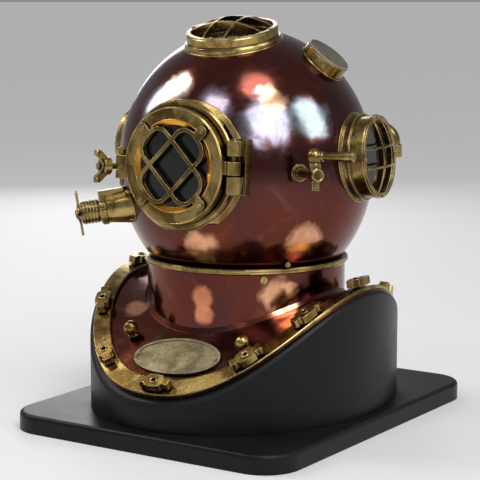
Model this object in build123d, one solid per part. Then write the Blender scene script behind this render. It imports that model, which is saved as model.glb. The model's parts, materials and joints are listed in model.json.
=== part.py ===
from build123d import *
import os
from math import asin, atan2, cos, degrees, radians, sin, sqrt

# Heavy-gear diving helmet of copper and brass on its black stand.
# Millimetres, +Z up. The diver looks along -Y and the diver's left is +X.
# The origin is the middle of the stand's underside.

# Stand
board_width = 398.0
board_length = 482.0
board_thickness = 23.0
board_corner_radius = 46.0
board_edge_round = 5.0
pedestal_wall = 20.0
pedestal_lip_side = 4.5
pedestal_lip_front = 6.0
pedestal_edge_break = 3.0

# Breastplate, heights above the board's top
rim_width = 358.0
rim_length = 430.0
rim_front_rise = 40.0
rim_shoulder_rise = 113.0
saddle_power = 2.5
crease_front_rise = 104.0
crease_shoulder_rise = 40.0
crease_break = 4.0
copper_thickness = 2.5
neck_top_rise = 176.0

# Straps, studs and wing nuts on the rim
strap_width_front = 25.5
strap_width_side = 21.0
strap_inset = 0.6
strap_thickness = 4.5
strap_edge_break = 1.0
strap_joint_angles = (-124.0, -62.5, 62.5, 117.5)
strap_joint_gap = 0.6
strap_seat_gap = 0.6
stud_radius = 3.2
stud_recess = 2.0
wing_length = 41.0
wing_width = 19.0
wing_end_width = 9.0
wing_height = 11.0
wing_notch_radius = 4.0
wing_notch_from_end = 6.5
wing_foot_radius = 8.0
wing_foot_height = 1.8
nut_angles = (-142.0, -116.5, -87.5, -56.0, -32.5, -1.5, 32.5, 56.0, 90.0, 124.0, 147.5, 180.0)

# Plate, lanyard studs and index screw on the breastplate
plate_angle = -87.5
plate_length = 119.5
plate_thickness = 2.4
plate_border_width = 3.2
plate_border_rise = 1.0
plate_rim_margin = 36.5
plate_neck_margin = 16.0
plate_rivet_radius = 2.3
plate_rivet_rise = 1.2
plate_rivet_inset = 7.0
ball_stud_angles = (-118.5, -57.0)
ball_stud_from_rims = (55.0, 42.0)
ball_stud_radius = 9.2
ball_stud_neck_radius = 4.2
ball_stud_neck_length = 0.2
ball_stud_foot_radius = 6.8
ball_stud_foot_height = 1.6
index_screw_angle = 43.0
index_screw_radius = 4.6
index_screw_drop = 6.5
index_pin_angle = 55.7
index_pin_radius = 3.2
index_pin_length = 6.0
index_pin_rise = 4.7

# Neck rings with their interrupted thread
neck_flange_thickness = 7.2
neck_flange_overhang = 6.6
neck_setback = 2.9
neck_flange_break = 1.2
neck_ring_height = 24.0
neck_ring_wall = 4.2
neck_skirt_wall = 5.0
neck_skirt_depth = 20.0
neck_bore_radius = 104.0
thread_depth = 4.0
thread_height = 5.0
thread_sector = 43.0
thread_starts = 4
bonnet_spigot_rise = 7.0
bonnet_spigot_wall = 3.0
gasket_thickness = 2.2
gasket_width = 6.0
running_gap = 0.3
seat_gap = 0.1
bearing_gap = 0.06

# Bonnet
bonnet_radius = 160.0
bonnet_half_height = 172.0
bonnet_center_rise = 112.0
port_rise = 4.7

# Front port
front_tilt = 3.2
front_seat_radius = 78.0
front_seat_edge = 7.3
front_seat_break = 1.5
front_foot_radius = 79.0
front_foot_offset = 10.0
front_foot_thickness = 3.0
front_flange_width = 5.0
front_bore_radius = 50.0
front_spigot_depth = 12.0
door_gasket_outer_radius = 65.0
door_gasket_inner_radius = 56.0
door_gasket_thickness = 1.2
door_radius = 70.5
door_edge_break = 1.5
door_rebate_radius = 54.5
door_lip_thickness = 3.5
door_sight_radius = 49.0
door_bevel_width = 6.0
door_glass_thickness = 4.5
door_seal_thickness = 1.2
retainer_thickness = 2.0
retainer_width = 4.5
grille_loop_width = 44.4
grille_loop_length = 98.4
grille_corner_radius = 16.4
grille_bar_width = 4.6
grille_bar_thickness = 4.0
grille_lug_width = 12.5
grille_screw_from_middle = 61.0
grille_screw_radius = 3.4
grille_screw_rise = 1.2
screw_slot_width = 1.0
screw_slot_depth = 0.7

# Front door hinge
hinge_offset = 80.4
hinge_rise = 3.0
hinge_knuckle_radius = 8.8
hinge_pin_radius = 3.0
hinge_pin_overhang = 1.6
hinge_mid_low = -6.0
hinge_mid_length = 15.5
hinge_top_length = 17.5
hinge_top_gap = 7.0
hinge_low_length = 20.0
hinge_low_gap = 2.3
hinge_plate_thickness = 5.0
hinge_plate_margin = 2.0
hinge_arm_thickness = 8.0

# Swing bolt that clamps the door
bolt_offset = 90.0
bolt_drop = 6.0
bolt_pivot_drop = 9.0
bolt_eye_radius = 5.4
bolt_eye_width = 26.0
bolt_pin_radius = 2.5
bolt_ear_width = 9.0
bolt_ear_radius = 5.6
bolt_shank_radius = 4.0
bolt_length = 33.0
bolt_rest_angle = 30.0
bolt_lug_thickness = 7.0
bolt_lug_half_height = 14.0
bolt_lug_short = 2.6
bolt_slot_gap = 0.6
bolt_nut_radius = 11.0
bolt_nut_height = 9.2
bolt_nut_dome_radius = 8.0
bolt_nut_dome_height = 4.0
bolt_wing_reach = 20.0
bolt_wing_thickness = 4.4
bolt_wing_root_height = 4.0
bolt_wing_tip_height = 20.0
bolt_wing_tip_width = 7.0

# Side and top ports
side_azimuth = 97.0
side_tilt = 4.7
side_flange_radius = 53.5
side_flange_edge = 2.5
side_flange_root = 12.0
side_bead_width = 4.0
side_bead_gap = 5.0
side_groove_share = 0.955
side_tube_radius = 50.0
side_face_radius = 51.0
side_face_width = 4.0
side_face_rise = 28.0
top_tilt = 12.3
top_azimuth = 5.0
top_flange_radius = 60.0
top_flange_edge = 5.0
top_bead_width = 4.5
top_face_radius = 56.7
top_face_rise = 14.0
top_spigot_wall = 1.5
port_wall = 5.5
port_spigot_depth = 8.0
port_ledge = 4.0
port_glass_thickness = 8.0
port_glass_drop = 7.0
port_seal_thickness = 0.8
port_break = 0.8
guard_bar_thickness = 2.4
guard_bar_depth_side = 7.0
guard_bar_depth_top = 8.5
guard_bar_offset_side = 12.0
guard_bar_offset_top = 14.5
guard_rise_side = 13.0
guard_rise_top = 15.0
guard_ring_thickness = 2.0
port_screw_radius = 2.6
port_screw_rise = 1.3

# Speaking-set drum at the upper left
drum_azimuth = 100.0
drum_elevation = 52.0
drum_radius = 29.0
drum_rise = 13.0
drum_wall = 3.0
drum_edge = 0.9
drum_cover_thickness = 3.0
drum_set_radius = 22.0
drum_set_height = 9.0
drum_post_radius = 5.0

# Goosenecks at the back
neck_pipe_azimuth = 132.0
neck_pipe_rise = 43.0
neck_pipe_radius = 11.0
neck_pipe_bore_radius = 8.0
neck_pipe_reach = 32.0
neck_pipe_bend_radius = 16.0
neck_pipe_drop = 4.0
neck_pipe_flange_radius = 19.0
neck_pipe_flange_edge = 4.0
hose_thread_radius = 13.15
hose_thread_length = 14.0

# Exhaust valve at the low right front
exhaust_azimuth = -38.0
exhaust_elevation = -16.3
exhaust_axis_azimuth = -57.0
exhaust_axis_elevation = -9.0
exhaust_root_radius = 21.0
exhaust_body_radius = 17.0
exhaust_body_length = 25.0
exhaust_root_depth = 18.0
exhaust_bore_radius = 13.0
exhaust_seat_radius = 8.0
exhaust_seat_from = 9.0
exhaust_seat_thickness = 3.0
exhaust_disc_radius = 11.0
exhaust_disc_thickness = 2.5
exhaust_stem_radius = 2.4
exhaust_stem_depth = 36.0
chin_button_radius = 12.0
chin_button_thickness = 4.0
exhaust_collar_radius = 18.0
exhaust_collar_length = 9.0
exhaust_cap_radius = 14.0
exhaust_cap_length = 24.0
exhaust_cap_wall = 3.0
exhaust_rib_height = 0.9
exhaust_rib_count = 5
exhaust_vent_radius = 2.5
exhaust_vent_count = 6
exhaust_wheel_reach = 28.0
exhaust_wheel_thickness = 2.6
exhaust_wheel_arm_width = 7.0
exhaust_wheel_arms = 4
exhaust_wheel_hub_radius = 11.0
exhaust_wheel_clearance = 1.6
exhaust_spindle_radius = 3.0
exhaust_spindle_depth = 9.0
exhaust_lug_length = 32.0
exhaust_lug_width = 9.0
exhaust_lug_thickness = 6.0
spring_wire_radius = 0.8
spring_radius = 6.5
spring_turns = 7

# Spit cock at the left front
cock_azimuth = 56.4
cock_elevation = 2.5
cock_axis_azimuth = 56.0
cock_axis_elevation = 3.0
cock_flange_radius = 9.0
cock_flange_edge = 3.0
cock_pipe_radius = 5.5
cock_bore_radius = 2.6
cock_barrel_from = 34.0
cock_barrel_length = 17.0
cock_barrel_radius = 7.8
cock_housing_radius = 7.2
cock_housing_rise = 11.0
cock_plug_radius = 4.0
cock_plug_depth = 4.0
cock_spout_radius = 4.6
cock_spout_tip_radius = 5.4
cock_spout_drop = 18.0
cock_collar_radius = 7.0
cock_collar_height = 2.6
cock_ball_radius = 9.2
cock_ball_rise = 21.0
cock_handle_azimuth = 100.0
cock_handle_length = 49.0
cock_handle_root_radius = 4.2
cock_handle_tip_radius = 6.4
cock_handle_collar_radius = 5.8
cock_handle_collar_length = 3.0

# Safety latch at the back
latch_arm_length = 31.0
latch_arm_width = 9.0
latch_arm_thickness = 4.0
latch_eye_radius = 4.0
latch_pin_radius = 2.0
latch_ear_width = 3.0
latch_ear_height = 8.0
latch_stand_off = 5.0
latch_rest_lift = 80.0
latch_keeper_height = 12.0
latch_keeper_width = 4.0
latch_keeper_depth = 10.0

# Air channel inside the bonnet
duct_width = 38.0
duct_depth = 8.0
duct_wall = 1.2
duct_start_azimuth = 145.0
duct_span = 95.0

# One overrun serves every cut that passes right through
overrun = 3.0

# Heights and radii worked out from the driving sizes
board_top = board_thickness
neck_top = board_top + neck_top_rise
flange_low = neck_top
flange_top = neck_top + neck_flange_thickness
bonnet_center = flange_top + bonnet_center_rise
port_height = bonnet_center + port_rise
base_share = sqrt(1 - (bonnet_center_rise / bonnet_half_height) ** 2)
bonnet_base_radius = bonnet_radius * base_share
neck_flange_radius = bonnet_base_radius + neck_flange_overhang
neck_radius = neck_flange_radius - neck_setback
inner_radius = bonnet_radius - copper_thickness
inner_half_height = bonnet_half_height - copper_thickness
inner_base_radius = inner_radius * sqrt(1 - (bonnet_center_rise / inner_half_height) ** 2)


def solid_of(shape):
    """The one solid that a cut or a fuse leaves."""
    return max(shape.solids(), key=lambda solid: solid.volume)


def save(name, *shapes):
    """Write a node's solids to its own file."""
    solids = [solid for shape in shapes for solid in shape.solids()]
    whole = solids[0] if len(solids) == 1 else Compound(children=solids)
    export_step(whole, f"parts/{name}.step")


def outward(origin, azimuth, elevation):
    """Plane whose z axis points out from the helmet, with x level and y upwards."""
    a = radians(azimuth)
    e = radians(elevation)
    out = (sin(a) * cos(e), -cos(a) * cos(e), sin(e))
    return Plane(origin=origin, x_dir=(cos(a), sin(a), 0), z_dir=out)


def turned(points):
    """Solid of revolution about Z from its (radius, height) corners."""
    face = make_face(Polyline(*[(r, 0, z) for r, z in points], close=True))
    return revolve(face, Axis.Z)


def ring(inner, outer, low, high):
    """Plain ring between two radii and two heights."""
    return turned([(inner, low), (outer, low), (outer, high), (inner, high)])


def rod(radius, low, high):
    """Cylinder about Z between two heights."""
    return Pos(0, 0, low) * Cylinder(radius, high - low, align=(Align.CENTER, Align.CENTER, Align.MIN))


def block(x0, x1, y0, y1, z0, z1):
    """Box between two corners."""
    size = Box(x1 - x0, y1 - y0, z1 - z0, align=(Align.MIN, Align.MIN, Align.MIN))
    return Pos(x0, y0, z0) * size


def upright_rod(radius, x, z, low, high):
    """Cylinder along local y through (x, z), as on a port's hinge."""
    return Pos(x, high, z) * Rot(90, 0, 0) * Cylinder(
        radius, high - low, align=(Align.CENTER, Align.CENTER, Align.MIN))


def egg(radius, half_height):
    """Solid ellipsoid of the bonnet's kind, about its own middle."""
    arc = EllipticalCenterArc((0, 0), radius, half_height, start_angle=-90, arc_size=180)
    axis_line = Line(arc @ 1, arc @ 0)
    face = make_face(Plane.XZ * (arc + axis_line))
    return revolve(face, Axis.Z)


def shell_depth(offset):
    """How far out the bonnet's surface lies on a level line that misses the axis by offset."""
    return sqrt(bonnet_radius ** 2 - offset ** 2)


def screw_head(radius, rise, slot_angle):
    """Slotted screw head standing on the XY plane."""
    head = rod(radius, 0, rise)
    head = fillet(head.edges().group_by(Axis.Z)[-1], rise / 3)
    slot = Rot(0, 0, slot_angle) * block(-radius - overrun, radius + overrun, -screw_slot_width / 2,
                                         screw_slot_width / 2, rise - screw_slot_depth, rise + overrun)
    return head - slot


# Saddle that the rim, the straps and the pedestal follow

def rim_radius(angle, side=0.0, front=0.0):
    """Plan radius of the rim's outline, grown by a margin at the sides and the front."""
    a = radians(angle)
    half_x = rim_width / 2 + side
    half_y = rim_length / 2 + front
    return 1 / sqrt((cos(a) / half_x) ** 2 + (sin(a) / half_y) ** 2)


def rim_height(angle):
    """Height of the rim's top edge."""
    reach = abs(rim_radius(angle) * cos(radians(angle))) / (rim_width / 2)
    return board_top + rim_front_rise + rim_shoulder_rise * reach ** saddle_power


def crease_height(angle):
    """Height where the neck turns out into the breastplate."""
    return board_top + crease_front_rise + crease_shoulder_rise * cos(radians(angle)) ** 2


def slope_length(angle):
    """Length of the section from the rim's edge up to the neck."""
    run = rim_radius(angle) - neck_radius
    fall = rim_height(angle) - crease_height(angle)
    return sqrt(run ** 2 + fall ** 2)


def slope(angle):
    """Unit steps outwards along the breastplate and up from it, as (radius, height)."""
    run = (rim_radius(angle) - neck_radius) / slope_length(angle)
    fall = (rim_height(angle) - crease_height(angle)) / slope_length(angle)
    return (run, fall), (-fall, run)


def on_slope(angle, inwards, up):
    """Point of the section at a plan angle, from the rim's edge inwards and up from the copper."""
    along, off = slope(angle)
    radius = rim_radius(angle) - along[0] * inwards + off[0] * up
    height = rim_height(angle) - along[1] * inwards + off[1] * up
    return radius, height


def strap_width(angle):
    """Width of the strap, which is a little wider at the front and the back."""
    return strap_width_side + (strap_width_front - strap_width_side) * sin(radians(angle)) ** 2


def at_angle(angle, point):
    """Space point of a section's (radius, height)."""
    a = radians(angle)
    return Vector(point[0] * cos(a), point[0] * sin(a), point[1])


def swept_section(outline, start, stop, steps):
    """Loft of a section that changes with the plan angle."""
    wires = []
    for index in range(steps + 1):
        angle = start + (stop - start) * index / steps
        corners = [at_angle(angle, point) for point in outline(angle)]
        wires.append(Wire.make_polygon(corners, close=True))
    return Solid.make_loft(wires)


def closed_saddle(outline):
    """Whole ring of a changing section, from one half and its mirror image."""
    step = 90 / 8
    half = swept_section(outline, -90 - step, 90 + step, 18)
    reach = rim_length + board_length
    half = solid_of(half & block(0, reach, -reach, reach, -reach, reach))
    return solid_of(half + mirror(half, Plane.YZ))


def slope_plane(angle, inwards, up):
    """Plane on the breastplate's surface, x along the rim and z out of the copper."""
    turn = 0.5
    here = at_angle(angle, on_slope(angle, inwards, up))
    ahead = at_angle(angle + turn, on_slope(angle + turn, inwards, up))
    behind = at_angle(angle - turn, on_slope(angle - turn, inwards, up))
    downhill = at_angle(angle, slope(angle)[0])
    tangent = (ahead - behind).normalized()
    normal = downhill.cross(tangent).normalized()
    return Plane(origin=here, x_dir=tangent, z_dir=normal)


# Stand

def make_board():
    plan = RectangleRounded(board_width, board_length, board_corner_radius)
    board = extrude(plan, board_thickness)
    return fillet(board.edges().group_by(Axis.Z)[-1], board_edge_round)


def pedestal_outline(angle):
    """Upright wall whose top carries the breastplate's rim."""
    outer = rim_radius(angle, pedestal_lip_side, pedestal_lip_front)
    along, off = slope(angle)
    drop = copper_thickness + running_gap

    def top(radius):
        edge_radius = rim_radius(angle) - off[0] * drop
        edge_height = rim_height(angle) - off[1] * drop
        return edge_height + (radius - edge_radius) * along[1] / along[0]

    break_radius = outer - pedestal_edge_break
    inner = outer - pedestal_wall
    return [(inner, board_top), (outer, board_top), (outer, top(outer) - pedestal_edge_break),
            (break_radius, top(break_radius)), (inner, top(inner))]


# Breastplate

def breastplate_outline(angle):
    """Neck, rounded crease and sloping skirt at one plan angle."""
    along, off = slope(angle)
    crease = crease_height(angle)
    inner_neck = neck_radius - copper_thickness
    under_edge = on_slope(angle, 0, -copper_thickness)
    under_crease = under_edge[1] + (inner_neck - under_edge[0]) * along[1] / along[0]
    bend = on_slope(angle, 0, 0)
    bend_radius = neck_radius + along[0] * crease_break
    bend_height = crease + along[1] * crease_break
    return [(neck_radius, neck_top), (neck_radius, crease + crease_break), (bend_radius, bend_height),
            bend, under_edge, (inner_neck, under_crease), (inner_neck, neck_top)]


def strap_outline(angle):
    """Flat strap that lies on the rim."""
    width = strap_width(angle)
    low = strap_seat_gap
    high = strap_seat_gap + strap_thickness
    corner = strap_edge_break
    near = strap_inset
    far = strap_inset + width
    return [on_slope(angle, near, low), on_slope(angle, near, high - corner),
            on_slope(angle, near + corner, high), on_slope(angle, far - corner, high),
            on_slope(angle, far, high - corner), on_slope(angle, far, low)]


def make_strap(start, stop):
    gap_angle = degrees(strap_joint_gap / rim_length)
    steps = max(8, round((stop - start) / 8))
    return swept_section(strap_outline, start + gap_angle, stop - gap_angle, steps)


def nut_plane(angle):
    """Seat of a wing nut in the middle of the strap's top face."""
    return slope_plane(angle, strap_inset + strap_width(angle) / 2, strap_thickness + strap_seat_gap)


def make_wing_nut():
    """Flat-topped wing nut whose round notches leave a horn at each corner."""
    half = wing_length / 2
    end = wing_end_width / 2
    side = wing_width / 2
    outline = (ThreePointArc((-half, -end), (0, -side), (half, -end)) + Line((half, -end), (half, end))
               + ThreePointArc((half, end), (0, side), (-half, end)) + Line((-half, end), (-half, -end)))
    nut = Pos(0, 0, wing_foot_height) * extrude(make_face(outline), wing_height - wing_foot_height)
    for along in (-1, 1):
        for across in (-1, 1):
            place = Pos(along * (half - wing_notch_from_end), across * (end + wing_notch_radius))
            nut -= place * rod(wing_notch_radius, -overrun, wing_height + overrun)
    nut += rod(wing_foot_radius, 0, wing_height)
    return solid_of(nut - rod(stud_radius + bearing_gap, -overrun, wing_height + overrun))


def make_stud():
    """Stud that stands in the copper and comes up through the strap."""
    through = strap_thickness + strap_seat_gap + copper_thickness / 2
    stud = rod(stud_radius, -through, wing_height - stud_recess)
    return fillet(stud.edges().group_by(Axis.Z)[-1], stud_radius / 4)


def on_breastplate(low, high, near, far, angle_span):
    """Layer that lies on the slope round the plate, between two heights above the copper."""
    def outline(angle):
        return [on_slope(angle, near, low), on_slope(angle, near, high),
                on_slope(angle, far, high), on_slope(angle, far, low)]
    return swept_section(outline, plate_angle - angle_span, plate_angle + angle_span, 8)


def oval(plane, length, height, reach):
    """Oval bar along a plane's normal."""
    return plane.location * Pos(0, 0, -reach) * extrude(Ellipse(length / 2, height / 2), 2 * reach)


plate_height = slope_length(plate_angle) - plate_rim_margin - plate_neck_margin
plate_middle = plate_rim_margin + plate_height / 2


def make_plate():
    """Blank oval plate with a raised border, curved to the breastplate."""
    plane = slope_plane(plate_angle, plate_middle, 0)
    near = plate_middle - plate_height / 2 - overrun
    far = plate_middle + plate_height / 2 + overrun
    span = degrees(plate_length / rim_length)
    reach = plate_height / 2
    outer = oval(plane, plate_length, plate_height, reach)
    inner = oval(plane, plate_length - 2 * plate_border_width, plate_height - 2 * plate_border_width, reach)
    high = plate_thickness + plate_border_rise
    body = on_breastplate(seat_gap, high, near, far, span * 2) & outer
    field = on_breastplate(plate_thickness, high + overrun, near - overrun, far + overrun, span * 3) & inner
    return solid_of(body - field)


def make_plate_rivets():
    """Rivets at the two ends of the plate, found on the curved slope in a few steps."""
    middle = slope_plane(plate_angle, plate_middle, 0)
    half = plate_length / 2 - plate_rivet_inset
    rivets = []
    for side in (-1, 1):
        inwards = plate_middle
        angle = plate_angle
        for _ in range(12):
            section = on_slope(angle, inwards, 0)
            here = middle.to_local_coords(at_angle(angle, section))
            angle += degrees((side * half - here.X) / section[0])
            inwards -= here.Y
        plane = slope_plane(angle, inwards, plate_thickness + seat_gap)
        rivets.append(plane.location * dome(plate_rivet_radius, plate_rivet_rise))
    return rivets


def dome(radius, rise):
    """Low rounded rivet head."""
    head = rod(radius, 0, rise)
    return fillet(head.edges().group_by(Axis.Z)[-1], rise * 0.9)


def make_ball_stud():
    """Ball on a short neck with a round foot."""
    middle = ball_stud_foot_height + ball_stud_neck_length + ball_stud_radius
    neck = rod(ball_stud_neck_radius, 0, middle)
    foot = rod(ball_stud_foot_radius, 0, ball_stud_foot_height)
    return solid_of(foot + neck + Pos(0, 0, middle) * Sphere(ball_stud_radius))


# Neck rings

thread_low = neck_top - neck_skirt_depth
skirt_outer = neck_radius - copper_thickness - neck_ring_wall - thread_depth - running_gap
socket_bore = neck_radius - copper_thickness - neck_ring_wall


def sectors(inner, outer, low, high, turn):
    """Ring cut into thread sectors, the first centred at an angle."""
    parts = []
    spread = 360 / thread_starts
    for index in range(thread_starts):
        corners = [(inner, 0, low), (outer, 0, low), (outer, 0, high), (inner, 0, high)]
        face = make_face(Polyline(*corners, close=True))
        arc = revolve(face, Axis.Z, revolution_arc=thread_sector)
        parts.append(Rot(0, 0, turn + index * spread - thread_sector / 2) * arc)
    return parts


def make_neck_socket():
    """Ring in the breastplate's neck, with inward thread sectors."""
    outer = neck_radius - copper_thickness - seat_gap
    low = neck_top - neck_ring_height
    body = ring(socket_bore, outer, low, neck_top - running_gap)
    floor_high = low + gasket_thickness
    shelf = ring(socket_bore - gasket_width, socket_bore + seat_gap, low, floor_high - gasket_thickness / 2)
    top = thread_low + 2 * thread_height + running_gap
    socket = body + shelf
    for part in sectors(socket_bore - thread_depth, socket_bore + seat_gap, top - thread_height, top, 0):
        socket += part
    return solid_of(socket)


def make_neck_gasket():
    """Leather washer on the socket's shelf."""
    low = neck_top - neck_ring_height + gasket_thickness / 2
    high = thread_low - running_gap
    return ring(socket_bore - gasket_width, socket_bore - seat_gap, low + seat_gap, high)


def make_bonnet_ring():
    """Flange under the bonnet, with the skirt that turns into the socket."""
    spigot_outer = inner_base_radius - seat_gap
    flange = turned([
        (neck_bore_radius, flange_low), (neck_flange_radius - neck_flange_break, flange_low),
        (neck_flange_radius, flange_low + neck_flange_break),
        (neck_flange_radius, flange_top - neck_flange_break),
        (neck_flange_radius - neck_flange_break, flange_top), (neck_bore_radius, flange_top)])
    spigot = ring(spigot_outer - bonnet_spigot_wall, spigot_outer, flange_low,
                  flange_top + bonnet_spigot_rise)
    skirt = ring(skirt_outer - neck_skirt_wall, skirt_outer, thread_low, flange_top)
    whole = flange + spigot + skirt
    for part in sectors(skirt_outer - seat_gap, skirt_outer + thread_depth, thread_low,
                        thread_low + thread_height, 0):
        whole += part
    return solid_of(whole)


# Bonnet

bonnet_middle = (0, 0, bonnet_center)
front_plane = outward((0, 0, port_height), 0, front_tilt)
left_plane = outward((0, 0, port_height), side_azimuth, side_tilt)
right_plane = outward((0, 0, port_height), -side_azimuth, side_tilt)
top_plane = outward(bonnet_middle, top_azimuth, 90 - top_tilt)
drum_plane = outward(bonnet_middle, drum_azimuth, drum_elevation)
bonnet_outer = Pos(*bonnet_middle) * egg(bonnet_radius, bonnet_half_height)
bonnet_cutter = Pos(*bonnet_middle) * egg(bonnet_radius + seat_gap, bonnet_half_height + seat_gap)
bonnet_inner = Pos(*bonnet_middle) * egg(inner_radius, inner_half_height)


def shell_point(azimuth, elevation):
    """Point of the bonnet's surface in a direction from its middle."""
    out = outward(bonnet_middle, azimuth, elevation).z_dir
    reach = 1 / sqrt((out.X ** 2 + out.Y ** 2) / bonnet_radius ** 2 + (out.Z / bonnet_half_height) ** 2)
    return Vector(*bonnet_middle) + out * reach


exhaust_plane = outward(shell_point(exhaust_azimuth, exhaust_elevation), exhaust_axis_azimuth,
                        exhaust_axis_elevation)
cock_plane = outward(shell_point(cock_azimuth, cock_elevation), cock_axis_azimuth, cock_axis_elevation)
pipe_elevation = degrees(atan2(neck_pipe_rise, bonnet_radius))
pipe_planes = []
for pipe_side in (1, -1):
    pipe_root = shell_point(pipe_side * neck_pipe_azimuth, pipe_elevation)
    pipe_planes.append(outward(pipe_root, pipe_side * neck_pipe_azimuth, 0))

side_spigot_radius = side_tube_radius - port_wall + port_ledge


def make_bonnet():
    """Copper dome with its holes."""
    dome_wall = bonnet_outer - bonnet_inner
    reach = bonnet_radius + bonnet_half_height
    dome_wall -= block(-reach, reach, -reach, reach, -reach, flange_top)
    for plane, radius in ((front_plane, front_spigot_radius), (left_plane, side_spigot_radius),
                          (right_plane, side_spigot_radius), (top_plane, top_spigot_radius),
                          (drum_plane, drum_radius - drum_wall)):
        dome_wall -= plane.location * rod(radius + seat_gap, 0, reach)
    holes = [(exhaust_plane, exhaust_bore_radius), (cock_plane, cock_bore_radius)]
    holes += [(plane, neck_pipe_bore_radius) for plane in pipe_planes]
    for plane, radius in holes:
        dome_wall -= plane.location * rod(radius, -reach / 4, reach)
    return solid_of(dome_wall)


# Front port

front_edge = shell_depth(front_seat_radius)
front_spigot_radius = front_seat_radius - front_flange_width
front_face = front_edge + front_seat_edge
door_back = front_face + door_gasket_thickness + running_gap
door_glass_low = door_back + running_gap + retainer_thickness
door_seal_low = door_glass_low + door_glass_thickness
door_lip_low = door_seal_low + door_seal_thickness
door_front = door_lip_low + door_lip_thickness
hinge_depth = front_face + hinge_rise
bolt_depth = door_back - bolt_pivot_drop
hinge_mid_high = hinge_mid_low + hinge_mid_length
hinge_top_low = hinge_mid_high + hinge_top_gap
hinge_top_high = hinge_top_low + hinge_top_length
hinge_low_high = hinge_mid_low - hinge_low_gap
hinge_low_low = hinge_low_high - hinge_low_length


def place_front(shape):
    return front_plane.location * shape


def outside_bonnet(shape):
    """What of a placed casting lies outside the copper."""
    return solid_of(shape - bonnet_cutter)


def make_front_foot():
    """Thin flange that follows the copper, turned over to the hinge side of the seat."""
    inner = front_spigot_radius
    base = shell_depth(front_foot_radius) - front_seat_edge
    lift = front_foot_thickness * bonnet_radius / shell_depth(front_foot_radius)
    foot = turned([(inner, base), (front_foot_radius, base),
                   (front_foot_radius, shell_depth(front_foot_radius) + lift),
                   (inner, shell_depth(inner) + lift)])
    turn = degrees(asin(front_foot_offset / front_face))
    return Rot(0, turn, 0) * foot & rod(2 * front_foot_radius, 0, front_face - front_seat_break)


def make_front_seat():
    """Seat casting with its spigot, foot flange, hinge knuckles and swing-bolt ears."""
    base = shell_depth(front_seat_radius) - front_seat_edge
    seat = turned([
        (front_bore_radius, base), (front_seat_radius, base),
        (front_seat_radius, front_face - front_seat_break),
        (front_seat_radius - front_seat_break, front_face), (front_bore_radius, front_face)])
    knuckle_low = hinge_depth - hinge_knuckle_radius - running_gap
    knuckle_out = hinge_offset + hinge_knuckle_radius
    plate = block(door_radius, knuckle_out + hinge_plate_margin, hinge_low_low - hinge_plate_margin,
                  hinge_top_high + hinge_plate_margin, knuckle_low - front_seat_edge - hinge_plate_thickness,
                  knuckle_low)
    seat += plate
    for low, high in ((hinge_top_low, hinge_top_high), (hinge_low_low, hinge_low_high)):
        seat += upright_rod(hinge_knuckle_radius, hinge_offset, hinge_depth, low, high)
        seat += block(front_seat_radius - front_seat_break, knuckle_out, low, high,
                      knuckle_low - running_gap, hinge_depth)
    ear_half = bolt_eye_width / 2 + running_gap
    ear_out = ear_half + bolt_ear_width
    ear_reach = bolt_offset + bolt_ear_radius
    ear_base = shell_depth(ear_reach) - front_seat_edge
    for side in (-1, 1):
        low, high = sorted((side * ear_half - bolt_drop, side * ear_out - bolt_drop))
        seat += upright_rod(bolt_ear_radius, -bolt_offset, bolt_depth, low, high)
        seat += block(-ear_reach, -front_seat_radius + 2 * bolt_ear_radius, low, high, ear_base, bolt_depth)
    seat += make_front_foot()
    seat = outside_bonnet(place_front(seat))
    spigot = ring(front_bore_radius, front_spigot_radius, front_edge, front_face)
    spigot += ring(front_bore_radius, front_spigot_radius, front_edge - front_spigot_depth / 4, front_edge)
    seat += place_front(spigot)
    sweep = hinge_knuckle_radius + running_gap
    seat -= place_front(upright_rod(sweep, hinge_offset, hinge_depth, hinge_mid_low - running_gap,
                                    hinge_mid_high + running_gap))
    notch = bolt_eye_radius + running_gap
    seat -= place_front(block(-bolt_offset - notch - overrun, -bolt_offset + notch, -ear_half - bolt_drop,
                              ear_half - bolt_drop, bolt_depth - notch, front_face + overrun))
    pin_gap = hinge_pin_radius + bearing_gap
    seat -= place_front(upright_rod(pin_gap, hinge_offset, hinge_depth, hinge_low_low - overrun,
                                    hinge_top_high + overrun))
    seat -= place_front(upright_rod(bolt_pin_radius + bearing_gap, -bolt_offset, bolt_depth,
                                    -ear_out - bolt_drop - overrun, ear_out - bolt_drop + overrun))
    return solid_of(seat)


def make_door_ring():
    """Hinged ring that carries the front glass."""
    body = turned([
        (door_rebate_radius, door_back), (door_radius - door_edge_break, door_back),
        (door_radius, door_back + door_edge_break), (door_radius, door_front - door_edge_break),
        (door_radius - door_edge_break, door_front), (door_sight_radius + door_bevel_width, door_front),
        (door_sight_radius, door_lip_low + door_lip_thickness / 3), (door_sight_radius, door_lip_low),
        (door_rebate_radius, door_lip_low)])
    ring_grip = door_radius - door_edge_break - retainer_width
    arm = block(ring_grip, hinge_offset, hinge_mid_low, hinge_mid_high, door_back,
                door_back + hinge_arm_thickness)
    body += arm
    body += upright_rod(hinge_knuckle_radius, hinge_offset, hinge_depth, hinge_mid_low, hinge_mid_high)
    body -= upright_rod(hinge_pin_radius + bearing_gap, hinge_offset, hinge_depth,
                        hinge_mid_low - overrun, hinge_mid_high + overrun)
    lug_end = -bolt_offset + bolt_lug_short
    body += block(lug_end, -ring_grip, -bolt_lug_half_height - bolt_drop, bolt_lug_half_height - bolt_drop,
                  door_back, door_back + bolt_lug_thickness)
    slot = bolt_shank_radius + bolt_slot_gap
    body -= block(lug_end - overrun, -bolt_offset + slot, -slot - bolt_drop, slot - bolt_drop,
                  door_back - overrun, door_front + overrun)
    return place_front(solid_of(body))


def make_door_glass():
    return place_front(rod(door_rebate_radius - running_gap, door_glass_low, door_seal_low))


def make_door_seal():
    return place_front(ring(door_sight_radius, door_rebate_radius - running_gap, door_seal_low, door_lip_low))


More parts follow.
